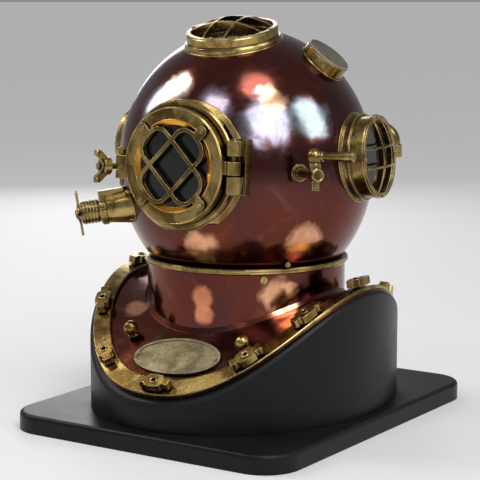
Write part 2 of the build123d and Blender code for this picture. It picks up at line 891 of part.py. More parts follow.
def make_door_retainer():
    outer = door_rebate_radius - seat_gap
    retainer = ring(outer - retainer_width, outer, door_glass_low - retainer_thickness, door_glass_low)
    return place_front(retainer)


def make_door_gasket():
    return place_front(ring(door_gasket_inner_radius, door_gasket_outer_radius, front_face,
                            front_face + door_gasket_thickness))


def make_door_grille():
    """Two crossed oblong loops with four screw lugs."""
    half = grille_bar_width / 2
    length = grille_loop_length
    width = grille_loop_width
    outer = RectangleRounded(length + 2 * half, width + 2 * half, grille_corner_radius + half)
    inner = RectangleRounded(length - 2 * half, width - 2 * half, grille_corner_radius - half)
    loop = outer - inner
    low = door_front
    grille = None
    for turn in (45, 135):
        bar = Rot(0, 0, turn) * extrude(loop, grille_bar_thickness)
        grille = bar if grille is None else grille + bar
    lug_start = length / 2 - half
    for turn in (45, 135, 225, 315):
        web = block(lug_start, grille_screw_from_middle, -grille_lug_width / 2, grille_lug_width / 2,
                    0, grille_bar_thickness)
        end = Pos(grille_screw_from_middle, 0) * rod(grille_lug_width / 2, 0, grille_bar_thickness)
        grille += Rot(0, 0, turn) * (web + end)
    return place_front(Pos(0, 0, low) * solid_of(grille))


def make_door_screws():
    heads = []
    for index in range(4):
        turn = 45 + 90 * index
        seat = Rot(0, 0, turn) * Pos(grille_screw_from_middle, 0, door_front + grille_bar_thickness)
        heads.append(place_front(seat * screw_head(grille_screw_radius, grille_screw_rise, 25 + 70 * index)))
    return heads


def make_hinge_pin():
    low = hinge_low_low - hinge_pin_overhang
    high = hinge_top_high + hinge_pin_overhang
    pin = upright_rod(hinge_pin_radius, hinge_offset, hinge_depth, low, high)
    cap_radius = hinge_pin_radius * 1.5
    pin += upright_rod(cap_radius, hinge_offset, hinge_depth, hinge_top_high + seat_gap, high)
    pin += upright_rod(cap_radius, hinge_offset, hinge_depth, low, hinge_low_low - seat_gap)
    return place_front(solid_of(pin))


def make_bolt_pin():
    half = bolt_eye_width / 2 + running_gap + bolt_ear_width
    pin = upright_rod(bolt_pin_radius, -bolt_offset, bolt_depth, -half - hinge_pin_overhang - bolt_drop,
                      half + hinge_pin_overhang - bolt_drop)
    return place_front(pin)


bolt_swing = Pos(-bolt_offset, -bolt_drop, bolt_depth) * Rot(0, -bolt_rest_angle, 0)
bolt_seat = door_back + bolt_lug_thickness + running_gap - bolt_depth


def make_swing_bolt():
    """Eye bolt, drawn on its own pivot and then swung clear of the lug."""
    eye = upright_rod(bolt_eye_radius, 0, 0, -bolt_eye_width / 2, bolt_eye_width / 2)
    bolt = eye + rod(bolt_shank_radius, 0, bolt_length)
    bolt = bolt - upright_rod(bolt_pin_radius + bearing_gap, 0, 0, -bolt_eye_width, bolt_eye_width)
    return place_front(bolt_swing * solid_of(bolt))


def make_bolt_nut():
    """Wing nut with upswept wings."""
    low = bolt_seat
    hub = rod(bolt_nut_radius, low, low + bolt_nut_height)
    hub = chamfer(hub.edges(), bolt_nut_radius / 12)
    hub += rod(bolt_nut_dome_radius, low, low + bolt_nut_height + bolt_nut_dome_height)
    root = low + bolt_wing_root_height
    tip = low + bolt_wing_tip_height
    for side in (-1, 1):
        outline = Polyline(
            (0, side * bolt_shank_radius, root), (0, side * bolt_nut_radius, root),
            (0, side * bolt_wing_reach, tip - bolt_wing_tip_width),
            (0, side * bolt_wing_reach, tip), (0, side * (bolt_wing_reach - bolt_wing_tip_width), tip),
            (0, side * bolt_shank_radius, low + bolt_nut_height), close=True)
        hub += extrude(make_face(outline), bolt_wing_thickness / 2, dir=(1, 0, 0), both=True)
    hub -= rod(bolt_shank_radius + bearing_gap, 0, tip + overrun)
    return place_front(bolt_swing * solid_of(hub))


# Side and top ports

def port_frame(plane, flange_radius, seat, bead_low, bead_width, face_radius, tube_radius, face,
               spigot_radius):
    """Port casting: flange, bead, tube and face lip outside, and a ledged bore inside."""
    bore = tube_radius - port_wall
    step = port_break
    outside = turned([
        (bore, seat - side_flange_root), (flange_radius, seat - side_flange_root),
        (flange_radius, seat - step), (flange_radius - step, seat), (side_groove_share * flange_radius, seat),
        (side_groove_share * flange_radius, bead_low), (flange_radius - step, bead_low),
        (flange_radius - step / 2, bead_low + bead_width / 2), (flange_radius - step, bead_low + bead_width),
        (tube_radius, bead_low + bead_width), (tube_radius, face - side_face_width),
        (face_radius, face - side_face_width + step), (face_radius, face - step), (face_radius - step, face),
        (bore, face)])
    body = outside_bonnet(plane.location * outside)
    ledge = face - port_glass_drop - port_glass_thickness - 2 * port_seal_thickness - retainer_thickness
    ledge_bore = bore - port_ledge
    low = shell_depth(spigot_radius) - port_spigot_depth
    body += plane.location * ring(ledge_bore, spigot_radius, low, shell_depth(spigot_radius) + step)
    body += plane.location * ring(ledge_bore, bore + step, low, ledge)
    return solid_of(body)


def port_glass(plane, bore, face):
    high = face - port_glass_drop - retainer_thickness - port_seal_thickness
    return plane.location * rod(bore - running_gap, high - port_glass_thickness, high)


def port_seal(plane, bore, face):
    high = face - port_glass_drop - retainer_thickness - port_seal_thickness - port_glass_thickness
    return plane.location * ring(bore - port_ledge, bore - running_gap, high - port_seal_thickness, high)


def port_retainer(plane, bore, face):
    high = face - port_glass_drop
    return plane.location * ring(bore - port_ledge, bore - seat_gap, high - retainer_thickness, high)


def port_guard(plane, bore, face_radius, face, offset, depth, rise):
    """Four crossed strips on edge that bow outwards from a thin ring."""
    span = (bore + face_radius) / 2
    radius = (span ** 2 + rise ** 2) / (2 * rise)
    center = face + rise - radius
    reach = face_radius
    bowl = Pos(0, 0, center) * (Sphere(radius) - Sphere(radius - depth))
    foot = face + guard_ring_thickness / 2
    bowl = bowl & rod(face_radius - 2 * port_break, foot, face + rise + overrun)
    guard = ring(bore, face_radius - port_break, face, face + guard_ring_thickness)
    half = guard_bar_thickness / 2
    for side in (-offset, offset):
        guard += bowl & block(side - half, side + half, -reach, reach, face, face + rise + overrun)
    for side in (-offset, offset):
        guard += bowl & block(-reach, reach, side - half, side + half, face, face + rise + overrun)
    return plane.location * solid_of(guard)


def port_screws(plane, bore, face_radius, face):
    middle = (bore + face_radius) / 2
    heads = []
    for index in range(4):
        seat = Rot(0, 0, 90 * index) * Pos(middle, 0, face + guard_ring_thickness)
        heads.append(plane.location * seat * screw_head(port_screw_radius, port_screw_rise, 30 + 50 * index))
    return heads


side_seat = shell_depth(side_flange_radius) + side_flange_edge
side_face = shell_depth(side_tube_radius) + side_face_rise
side_bore = side_tube_radius - port_wall
top_radius_share = bonnet_half_height / bonnet_radius
top_seat = shell_depth(top_flange_radius) * top_radius_share + top_flange_edge
top_face = shell_depth(top_face_radius) * top_radius_share + top_face_rise
top_bore = top_face_radius - port_wall
top_spigot_radius = top_bore + top_spigot_wall


def make_top_frame():
    """Shallow drum of the top port with a rolled bead at its foot."""
    step = port_break
    bead = top_bead_width
    tube = top_face_radius
    base = top_seat - 3 * top_flange_edge
    outside = turned([
        (top_bore, base), (top_flange_radius, base), (top_flange_radius, top_seat - bead / 2),
        (top_flange_radius - bead / 4, top_seat), (tube - step, top_seat), (tube - step, top_seat + step),
        (tube, top_seat + 2 * step), (tube, top_face - step), (tube - step, top_face), (top_bore, top_face)])
    body = outside_bonnet(top_plane.location * outside)
    ledge = top_face - port_glass_drop - port_glass_thickness - port_seal_thickness - retainer_thickness
    ledge -= port_seal_thickness
    low = ledge - port_spigot_depth
    body += top_plane.location * ring(top_bore, top_spigot_radius, low, top_seat - step)
    body += top_plane.location * ring(top_bore - port_ledge, top_spigot_radius, low, ledge)
    return solid_of(body)


# Speaking-set drum

drum_reach = (shell_point(drum_azimuth, drum_elevation) - Vector(*bonnet_middle)).length
drum_face = drum_reach + drum_rise


def make_drum():
    low = drum_reach - drum_radius / 2
    body = ring(drum_radius - drum_wall, drum_radius, low, drum_face - drum_cover_thickness)
    return outside_bonnet(drum_plane.location * body)


def make_drum_cover():
    cover = rod(drum_radius - drum_edge, drum_face - drum_cover_thickness + seat_gap, drum_face)
    return drum_plane.location * fillet(cover.edges().group_by(Axis.Z)[-1], drum_edge)


def make_speaking_set():
    high = drum_face - drum_cover_thickness
    post = rod(drum_post_radius, high - drum_wall, high)
    can = rod(drum_set_radius, high - drum_wall - drum_set_height, high - drum_wall)
    return drum_plane.location * solid_of(post + can)


# Goosenecks

def make_gooseneck(plane):
    """Flanged pipe that leaves level, bends down and ends in a hose thread."""
    bend = neck_pipe_bend_radius
    pipe = rod(neck_pipe_radius, -neck_pipe_radius, neck_pipe_reach - bend)
    flange = rod(neck_pipe_flange_radius, -neck_pipe_radius, neck_pipe_flange_edge)
    hole = rod(neck_pipe_bore_radius, -2 * neck_pipe_radius, neck_pipe_reach - bend)
    turn_axis = Axis((0, -bend, neck_pipe_reach - bend), (1, 0, 0))
    start = Plane(origin=(0, 0, neck_pipe_reach - bend), x_dir=(1, 0, 0), z_dir=(0, 0, 1))
    elbow = revolve(start * Circle(neck_pipe_radius), turn_axis, revolution_arc=90)
    elbow_hole = revolve(start * Circle(neck_pipe_bore_radius), turn_axis, revolution_arc=90)
    end_top = -bend
    thread_top = end_top - neck_pipe_drop
    thread_end = thread_top - hose_thread_length
    down = upright_rod(neck_pipe_radius, 0, neck_pipe_reach, thread_end, end_top)
    thread = upright_rod(hose_thread_radius, 0, neck_pipe_reach, thread_end, thread_top)
    down_hole = upright_rod(neck_pipe_bore_radius, 0, neck_pipe_reach, thread_end - overrun, end_top)
    body = outside_bonnet(plane.location * (pipe + flange + elbow + down + thread))
    for tool in (hole, elbow_hole, down_hole):
        body -= plane.location * tool
    return solid_of(body)


# Exhaust valve

def make_exhaust_body():
    """Tapered body with its seat web and top lug."""
    length = exhaust_body_length
    body = turned([(0, -exhaust_root_depth), (exhaust_root_radius, -exhaust_root_depth),
                   (exhaust_root_radius, 0), (exhaust_body_radius, length), (0, length)])
    lug_high = exhaust_root_radius + exhaust_lug_thickness / 2
    body += block(-exhaust_lug_width / 2, exhaust_lug_width / 2, exhaust_body_radius - exhaust_lug_thickness,
                  lug_high, length + exhaust_collar_length - exhaust_lug_length,
                  length + exhaust_collar_length)
    body = outside_bonnet(exhaust_plane.location * body)
    low_hole = rod(exhaust_bore_radius, -2 * exhaust_root_depth, exhaust_seat_from)
    seat_hole = rod(exhaust_seat_radius, 0, length + overrun)
    high_hole = rod(exhaust_bore_radius, exhaust_seat_from + exhaust_seat_thickness, length + overrun)
    for tool in (low_hole, seat_hole, high_hole):
        body -= exhaust_plane.location * tool
    collar_room = rod(exhaust_collar_radius + seat_gap, length, length + exhaust_collar_length + overrun)
    body -= exhaust_plane.location * collar_room
    return solid_of(body)


def make_exhaust_cap():
    """Collar and ribbed cap that close the valve's chamber."""
    low = exhaust_body_length
    mid = low + exhaust_collar_length
    high = mid + exhaust_cap_length
    inner = exhaust_cap_radius - exhaust_cap_wall
    cap = turned([(inner, low), (exhaust_collar_radius - exhaust_rib_height, low),
                  (exhaust_collar_radius, low + exhaust_rib_height),
                  (exhaust_collar_radius, mid - exhaust_rib_height),
                  (exhaust_collar_radius - exhaust_rib_height, mid), (exhaust_cap_radius, mid),
                  (exhaust_cap_radius, high - exhaust_rib_height),
                  (exhaust_cap_radius - exhaust_rib_height, high),
                  (exhaust_spindle_radius + bearing_gap, high),
                  (exhaust_spindle_radius + bearing_gap, high - exhaust_cap_wall),
                  (inner, high - exhaust_cap_wall)])
    pitch = exhaust_cap_length / (exhaust_rib_count + 1)
    for index in range(exhaust_rib_count):
        middle = mid + (index + 1) * pitch
        cap += ring(exhaust_cap_radius - exhaust_rib_height, exhaust_cap_radius + exhaust_rib_height,
                    middle - exhaust_rib_height, middle + exhaust_rib_height)
    vent_height = mid + pitch / 2
    for index in range(exhaust_vent_count):
        vent = Pos(0, 0, vent_height) * Rot(0, 0, 360 * index / exhaust_vent_count) * Rot(0, 90, 0) * rod(
            exhaust_vent_radius / 2, 0, exhaust_cap_radius + overrun)
        cap -= vent
    return exhaust_plane.location * solid_of(cap)


exhaust_wheel_low = exhaust_body_length + exhaust_collar_length + exhaust_cap_length + exhaust_wheel_clearance


def make_exhaust_wheel():
    """Star wheel on its spindle."""
    high = exhaust_wheel_low + exhaust_wheel_thickness
    wheel = rod(exhaust_wheel_hub_radius, exhaust_wheel_low, high)
    half = exhaust_wheel_arm_width / 2
    for index in range(exhaust_wheel_arms):
        arm = block(0, exhaust_wheel_reach - half, -half, half, exhaust_wheel_low, high)
        tip = Pos(exhaust_wheel_reach - half, 0) * rod(half, exhaust_wheel_low, high)
        wheel += Rot(0, 0, 360 * index / exhaust_wheel_arms + 90) * (arm + tip)
    wheel += rod(exhaust_spindle_radius, exhaust_wheel_low - exhaust_spindle_depth,
                 high + exhaust_wheel_clearance)
    return exhaust_plane.location * solid_of(wheel)


disc_low = exhaust_seat_from + exhaust_seat_thickness + seat_gap


def make_exhaust_stem():
    """Valve disc, stem and chin button in one turned piece."""
    low = -exhaust_stem_depth
    return exhaust_plane.location * turned([
        (0, low), (chin_button_radius, low), (chin_button_radius, low + chin_button_thickness),
        (exhaust_stem_radius, low + chin_button_thickness), (exhaust_stem_radius, disc_low),
        (exhaust_disc_radius, disc_low), (exhaust_disc_radius, disc_low + exhaust_disc_thickness),
        (0, disc_low + exhaust_disc_thickness)])


def make_exhaust_spring():
    """Light coil spring between the valve disc and the cap."""
    low = disc_low + exhaust_disc_thickness + seat_gap + spring_wire_radius
    high = (exhaust_body_length + exhaust_collar_length + exhaust_cap_length - exhaust_cap_wall
            - seat_gap - spring_wire_radius)
    height = high - low
    path = Helix(height / spring_turns, height, spring_radius)
    section = Plane(origin=path @ 0, z_dir=path % 0) * Circle(spring_wire_radius)
    coil = sweep(section, path=path)
    return exhaust_plane.location * Pos(0, 0, low) * coil


# Spit cock

cock_middle = cock_barrel_from + cock_barrel_length / 2


def make_cock_body():
    """Pipe from the bonnet, barrel, upright plug housing and spout."""
    pipe = rod(cock_pipe_radius, -cock_flange_radius, cock_barrel_from)
    flange = rod(cock_flange_radius, -cock_flange_radius, cock_flange_edge)
    barrel = rod(cock_barrel_radius, cock_barrel_from, cock_barrel_from + cock_barrel_length)
    barrel = chamfer(barrel.edges().group_by(Axis.Z)[-1], cock_barrel_radius / 8)
    housing = upright_rod(cock_housing_radius, 0, cock_middle, 0, cock_housing_rise)
    spout = upright_rod(cock_spout_radius, 0, cock_middle, -cock_spout_drop, 0)
    tip = upright_rod(cock_spout_tip_radius, 0, cock_middle, -cock_spout_drop,
                      -cock_spout_drop + cock_collar_height)
    body = outside_bonnet(cock_plane.location * (pipe + flange + barrel + housing + spout + tip))
    body -= cock_plane.location * rod(cock_bore_radius, -2 * cock_flange_radius,
                                      cock_middle - cock_bore_radius)
    body -= cock_plane.location * upright_rod(cock_bore_radius, 0, cock_middle, -cock_spout_drop - overrun,
                                              -cock_bore_radius)
    body -= cock_plane.location * upright_rod(cock_plug_radius + bearing_gap, 0, cock_middle,
                                              -cock_plug_depth, cock_housing_rise + overrun)
    return solid_of(body)


def make_cock_plug():
    """Turning plug with its collar, ball and tapered handle."""
    plug = upright_rod(cock_plug_radius, 0, cock_middle, -cock_plug_depth + running_gap, cock_ball_rise)
    collar_low = cock_housing_rise + running_gap
    plug += upright_rod(cock_collar_radius, 0, cock_middle, collar_low, collar_low + cock_collar_height / 2)
    plug += upright_rod(cock_collar_radius - port_break, 0, cock_middle, collar_low,
                        collar_low + cock_collar_height)
    ball = Pos(0, cock_ball_rise, cock_middle) * Sphere(cock_ball_radius)
    start = cock_ball_radius - cock_handle_collar_length / 2
    handle = turned([
        (0, 0), (cock_handle_root_radius, 0), (cock_handle_root_radius, start),
        (cock_handle_collar_radius, start), (cock_handle_collar_radius, start + cock_handle_collar_length),
        (cock_handle_root_radius, start + cock_handle_collar_length),
        (cock_handle_tip_radius, cock_handle_length - cock_handle_tip_radius / 4),
        (cock_handle_tip_radius * 0.8, cock_handle_length), (0, cock_handle_length)])
    turn = cock_handle_azimuth - cock_axis_azimuth
    handle = Pos(0, cock_ball_rise, cock_middle) * Rot(0, turn, 0) * handle
    return cock_plane.location * solid_of(plug + ball + handle)


# Safety latch

latch_y = neck_flange_radius + latch_stand_off
latch_z = flange_top + latch_ear_height / 2


def rod_along_x(radius, y, z, half):
    return Pos(-half, y, z) * Rot(0, 90, 0) * rod(radius, 0, 2 * half)


def make_latch_bracket():
    """Two ears on the bonnet's flange."""
    inner = latch_arm_width / 2 + running_gap
    outer = inner + latch_ear_width
    bracket = block(-outer, outer, bonnet_base_radius, neck_flange_radius, flange_top,
                    flange_top + latch_pin_radius)
    for low, high in ((inner, outer), (-outer, -inner)):
        bracket += block(low, high, bonnet_base_radius, latch_y, flange_top, flange_top + latch_ear_height)
        bracket += Pos(low, latch_y, latch_z) * Rot(0, 90, 0) * rod(latch_ear_height / 2, 0, high - low)
    bracket -= rod_along_x(latch_pin_radius + bearing_gap, latch_y, latch_z, outer + overrun)
    bracket -= rod_along_x(latch_eye_radius + running_gap, latch_y, latch_z, inner)
    bracket = bracket - bonnet_cutter
    return solid_of(bracket)


def make_latch_pin():
    half = latch_arm_width / 2 + running_gap + latch_ear_width + hinge_pin_overhang
    return rod_along_x(latch_pin_radius, latch_y, latch_z, half)


def make_latch():
    """Arm drawn hanging and then lifted clear of its keeper."""
    half = latch_arm_width / 2
    arm = block(-half, half, -latch_arm_thickness / 2, latch_arm_thickness / 2, -latch_arm_length, 0)
    arm += rod_along_x(latch_eye_radius, 0, 0, half)
    arm -= rod_along_x(latch_pin_radius + bearing_gap, 0, 0, half + overrun)
    return Pos(0, latch_y, latch_z) * Rot(latch_rest_lift, 0, 0) * solid_of(arm)


def make_latch_keeper():
    """Two cheeks on the breastplate's neck that the latch drops between."""
    inner = latch_arm_width / 2 + running_gap
    outer = inner + latch_keeper_width
    high = neck_top - running_gap
    low = high - latch_keeper_height
    out = neck_radius + latch_keeper_depth
    keeper = block(-outer, outer, neck_radius - copper_thickness, neck_radius + latch_keeper_width / 2,
                   low, high)
    for near, far in ((inner, outer), (-outer, -inner)):
        keeper += block(near, far, neck_radius - copper_thickness, out, low, high)
    return solid_of(keeper - rod(neck_radius + seat_gap, low - overrun, high + overrun))


# Air channel

def make_air_duct():
    """Thin channel under the copper that leads air round the back to the right window."""
    def layer(depth, half_width):
        outer = Pos(*bonnet_middle) * egg(inner_radius - running_gap, inner_half_height - running_gap)
        inner = Pos(*bonnet_middle) * egg(inner_radius - depth, inner_half_height - depth)
        middle = bonnet_center + neck_pipe_rise
        sector = make_face(Polyline((0, 0, middle - half_width), (bonnet_radius, 0, middle - half_width),
                                    (bonnet_radius, 0, middle + half_width), (0, 0, middle + half_width),
                                    close=True))
        wedge = Rot(0, 0, duct_start_azimuth - 90) * revolve(sector, Axis.Z, revolution_arc=duct_span)
        return (outer - inner) & wedge
    body = layer(duct_depth, duct_width / 2)
    return solid_of(body - layer(duct_depth - duct_wall, duct_width / 2 - duct_wall))


def main():
    os.makedirs("parts", exist_ok=True)
    save("stand_board", make_board())
    save("stand_pedestal", closed_saddle(pedestal_outline))

    breastplate = closed_saddle(breastplate_outline)
    for angle in nut_angles:
        breastplate -= nut_plane(angle).location * rod(stud_radius + seat_gap, -wing_length, wing_length)
    save("breastplate", solid_of(breastplate))
    stops = strap_joint_angles[1:] + (strap_joint_angles[0] + 360,)
    for side, start, stop in zip(("front", "left", "back", "right"), strap_joint_angles, stops):
        strap = make_strap(start, stop)
        for angle in nut_angles:
            strap -= nut_plane(angle).location * rod(stud_radius + seat_gap, -wing_height, wing_height)
        save(f"strap_{side}", solid_of(strap))
    save("rim_studs", *[nut_plane(angle).location * make_stud() for angle in nut_angles])
    save("rim_wing_nuts", *[nut_plane(angle).location * Pos(0, 0, running_gap) * make_wing_nut()
                            for angle in nut_angles])
    save("oval_plate", make_plate())
    save("plate_rivets", *make_plate_rivets())
    ball_planes = [slope_plane(angle, inwards, seat_gap)
                   for angle, inwards in zip(ball_stud_angles, ball_stud_from_rims)]
    save("ball_studs", *[plane.location * make_ball_stud() for plane in ball_planes])
    screw_place = outward((0, 0, neck_top - index_screw_drop), index_screw_angle, 0)
    save("index_screw", screw_place.location * Pos(0, 0, neck_radius + seat_gap) * screw_head(
        index_screw_radius, port_screw_rise, 70))
    pin_place = outward((0, 0, flange_top + index_pin_rise), index_pin_angle, 0)
    pin_root = bonnet_radius * sqrt(1 - ((bonnet_center_rise - index_pin_rise) / bonnet_half_height) ** 2)
    index_pin = rod(index_pin_radius, -index_pin_length, index_pin_length)
    save("index_pin", outside_bonnet(pin_place.location * Pos(0, 0, pin_root) * index_pin))
    save("neck_socket", make_neck_socket())
    save("neck_gasket", make_neck_gasket())
    save("latch_keeper", make_latch_keeper())

    save("bonnet", make_bonnet())
    save("bonnet_ring", make_bonnet_ring())
    save("front_seat", make_front_seat())
    save("front_gasket", make_door_gasket())
    save("hinge_pin", make_hinge_pin())
    save("bolt_pin", make_bolt_pin())
    save("door_ring", make_door_ring())
    save("door_glass", make_door_glass())
    save("door_seal", make_door_seal())
    save("door_retainer", make_door_retainer())
    save("door_grille", make_door_grille())
    save("door_screws", *make_door_screws())
    save("swing_bolt", make_swing_bolt())
    save("swing_bolt_nut", make_bolt_nut())

    seals = []
    retainers = []
    screws = []
    bead_low = side_seat + side_bead_gap
    for side, plane in (("left", left_plane), ("right", right_plane)):
        frame = port_frame(plane, side_flange_radius, side_seat, bead_low, side_bead_width,
                           side_face_radius, side_tube_radius, side_face, side_spigot_radius)
        save(f"{side}_port_frame", frame)
        save(f"{side}_port_glass", port_glass(plane, side_bore, side_face))
        save(f"{side}_port_guard", port_guard(plane, side_bore, side_face_radius, side_face,
                                              guard_bar_offset_side, guard_bar_depth_side, guard_rise_side))
        seals.append(port_seal(plane, side_bore, side_face))
        retainers.append(port_retainer(plane, side_bore, side_face))
        screws += port_screws(plane, side_bore, side_face_radius, side_face)
    save("top_port_frame", make_top_frame())
    save("top_port_glass", port_glass(top_plane, top_bore, top_face))
    save("top_port_guard", port_guard(top_plane, top_bore, top_face_radius, top_face, guard_bar_offset_top,
                                      guard_bar_depth_top, guard_rise_top))
    seals.append(port_seal(top_plane, top_bore, top_face))
    retainers.append(port_retainer(top_plane, top_bore, top_face))
    screws += port_screws(top_plane, top_bore, top_face_radius, top_face)
    save("port_seals", *seals)
    save("port_retainers", *retainers)
    save("port_screws", *screws)

    save("speaking_drum", make_drum())
    save("drum_cover", make_drum_cover())
    save("speaking_set", make_speaking_set())
    save("air_gooseneck", make_gooseneck(pipe_planes[1]))
    save("cable_gooseneck", make_gooseneck(pipe_planes[0]))
    save("exhaust_body", make_exhaust_body())
    save("exhaust_cap", make_exhaust_cap())
    save("exhaust_wheel", make_exhaust_wheel())
    save("exhaust_stem", make_exhaust_stem())
    save("exhaust_spring", make_exhaust_spring())
    save("spit_cock_body", make_cock_body())
    save("spit_cock_plug", make_cock_plug())
    save("air_duct", make_air_duct())
    save("latch_bracket", make_latch_bracket())
    save("latch_pin", make_latch_pin())
    save("safety_latch", make_latch())


main()
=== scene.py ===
import json
from math import atan2, cos, degrees, pi, radians, sin, sqrt, tau

import bmesh
import bpy
from mathutils import Matrix, Vector


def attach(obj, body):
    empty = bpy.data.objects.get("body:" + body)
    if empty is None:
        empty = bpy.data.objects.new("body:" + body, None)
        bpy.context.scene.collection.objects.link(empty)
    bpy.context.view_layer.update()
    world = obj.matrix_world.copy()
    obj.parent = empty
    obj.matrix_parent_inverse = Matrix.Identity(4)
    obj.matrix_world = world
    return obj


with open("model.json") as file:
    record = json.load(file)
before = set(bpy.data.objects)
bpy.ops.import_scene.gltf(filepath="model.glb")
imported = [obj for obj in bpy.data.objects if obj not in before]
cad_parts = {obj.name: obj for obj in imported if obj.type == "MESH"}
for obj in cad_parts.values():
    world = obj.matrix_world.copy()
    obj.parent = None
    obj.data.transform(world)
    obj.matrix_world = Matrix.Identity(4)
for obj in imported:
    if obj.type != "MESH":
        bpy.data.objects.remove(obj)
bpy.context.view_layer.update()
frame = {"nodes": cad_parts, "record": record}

MM = 0.001

# Camera, in metres and degrees, in the frame of the helmet
CAMERA_PLACE = Vector((1.2054, -1.8404, 0.5628))
CAMERA_AZIMUTH = 33.43
CAMERA_PITCH = 8.79
LENS_MM = 131.6
SENSOR_MM = 36.0
FAR_CLIP = 30.0

# Bonnet and its fittings, taken over from the CAD; directions are (azimuth, elevation)
BONNET_CENTER = Vector((0, 0, 0.3182))
BONNET_RADII = Vector((0.160, 0.160, 0.172))
PORT_HEIGHT = 0.3229
FRONT_TILT = 3.2
SEAT_RADIUS = 78.0 * MM
DOOR_FACE = 160.0 * MM
DOOR_SIGHT = 56.5 * MM
SIDE_PORT = (97.0, 4.7)
SIDE_FLANGE_RADIUS = 53.5 * MM
TOP_PORT = (5.0, 77.7)
TOP_FLANGE_RADIUS = 60.0 * MM
DRUM = (100.0, 52.0)
DRUM_RADIUS = 29.0 * MM
PIPE_AZIMUTH = 132.0
PIPE_RISE = 43.0 * MM
PIPE_REACH = 32.0 * MM
PIPE_FLANGE_RADIUS = 19.0 * MM
HOSE_THREAD_RADIUS = 13.15 * MM
HOSE_THREAD_TOP = 20.0 * MM
EXHAUST_ROOT = (-38.0, -16.3)
EXHAUST_AXIS = (-57.0, -9.0)
EXHAUST_FOOT_RADIUS = 20.2 * MM
EXHAUST_COLLAR_RADIUS = 18.0 * MM
EXHAUST_COLLAR_LOW = 25.0 * MM
EXHAUST_COLLAR_HIGH = 34.0 * MM
EXHAUST_WHEEL_TOP = 62.2 * MM
COCK_ROOT = (56.4, 2.5)
COCK_AXIS = (56.0, 3.0)
COCK_FLANGE_RADIUS = 9.0 * MM
COCK_MIDDLE = 42.5 * MM
COCK_BARREL_END = 51.0 * MM
COCK_SPOUT_RADIUS = 4.6 * MM
COCK_COLLAR_RADIUS = 7.0 * MM
BOLT_PIVOT = Vector((-90.0, -6.0, 139.5)) * MM
BOLT_LEAN = 30.0
BOLT_SEAT = 16.3 * MM

# Breastplate, taken over from the CAD; a shoulder rise comes on top of the front rise
NECK_RADIUS = 125.13 * MM
FLANGE_RADIUS = 128.03 * MM
FLANGE_LOW = 199.0 * MM
FLANGE_TOP = 206.2 * MM
BOARD_TOP = 23.0 * MM
RIM_HALF_X = 179.0 * MM
RIM_HALF_Y = 215.0 * MM
RIM_FRONT_RISE = 40.0 * MM
RIM_SHOULDER_RISE = 113.0 * MM
SADDLE_POWER = 2.5
CREASE_FRONT_RISE = 104.0 * MM
CREASE_SHOULDER_RISE = 40.0 * MM
STRAP_INSET = 0.6 * MM
STRAP_WIDTH_SIDE = 21.0 * MM
STRAP_WIDTH_FRONT = 25.5 * MM
STRAP_TOP = 5.1 * MM
NUT_HEIGHT = 11.3 * MM
NUT_ANGLES = (-142.0, -116.5, -87.5, -56.0, -32.5, -1.5, 32.5, 56.0, 90.0, 124.0, 147.5, 180.0)
TANGENT_STEP = 0.5

# Detail pieces; sections are (radius, height) corners in millimetres, arcs (start, turn) in degrees
BEAD_POINTS = 8
SOLDER_BEAD = 1.1 * MM
SOLDER_LEAD = 0.6 * MM
SEAT_SOLDER_BEAD = 1.2 * MM
SEAT_SOLDER_LEAD = 0.7 * MM
SEAT_SOLDER_ARC = (100, 160)
NECK_RIDGE_BEAD = 0.7 * MM
NECK_RIDGE_INSET = 2.0 * MM
DOOR_RIM_RADIUS = 68.9 * MM
DOOR_RIM_DEPTH = 0.3 * MM
DOOR_RIM_BEAD = 0.9 * MM
DOOR_STEP_RADIUS = 55.0 * MM
DOOR_STEP_DEPTH = 0.2 * MM
DOOR_STEP_BEAD = 0.8 * MM
SEAT_RIDGE_HEIGHT = 143.4 * MM
SEAT_RIDGE_BEAD = 0.8 * MM
SEAT_RIDGE_ARCS = ((40, 115), (205, 125))
NUT_COLLAR_SECTION = ((3.3, 0), (5.4, 0), (5.1, 0.9), (4.4, 1.3), (3.3, 1.1))
COLLAR_RIB_COUNT = 30
COLLAR_RIB_DEPTH = 1.2 * MM
COLLAR_RIB_WIDTH = 1.7 * MM
COLLAR_RIB_SHARE = 0.72
COLLAR_RIB_EDGE = 0.3 * MM
WHEEL_NUT_SECTION = ((0.4, 0), (5.6, 0), (5.6, 1.8), (4.4, 3.6), (0.4, 4.2))
WHEEL_RING_RADIUS = 9.6 * MM
WHEEL_RING_BEAD = 0.8 * MM
BARREL_RIM_SECTION = ((5.6, -0.6), (7.4, -0.6), (7.2, 0.8), (5.8, 0.8))
SPOUT_RING_DROPS = (8.6 * MM, 11.4 * MM, 14.0 * MM)
SPOUT_RING_BEAD = 0.7 * MM
PACKING_RING_HEIGHT = 12.6 * MM
PACKING_RING_BEAD = 0.5 * MM
THREAD_TURNS = 6
THREAD_START = 1.6 * MM
THREAD_PITCH = 2.1 * MM
THREAD_BEAD = 0.55 * MM
THREAD_COLLAR_RISE = 1.0 * MM
THREAD_COLLAR_BEAD = 1.6 * MM
NUT_TIP_OUT = 16.6 * MM
NUT_TIP_RADIUS = 3.9 * MM
NUT_RING_RADIUS = 9.6 * MM
NUT_RING_HEIGHT = 9.2 * MM
NUT_RING_BEAD = 0.7 * MM
MERGE_DISTANCE = 0.001 * MM

# Shading: the limits of an edge are cosines between the rounded and the true normal
EDGE_BEGINS = 0.985
EDGE_FULL = 0.88
EDGE_SAMPLES = 4
RECESS_SAMPLES = 6
PATCH_RAGGED = 1.6
PATCH_FADE = 1.3
PATCH_FULL = 0.65
SIGHT_FADE = 1.2 * MM

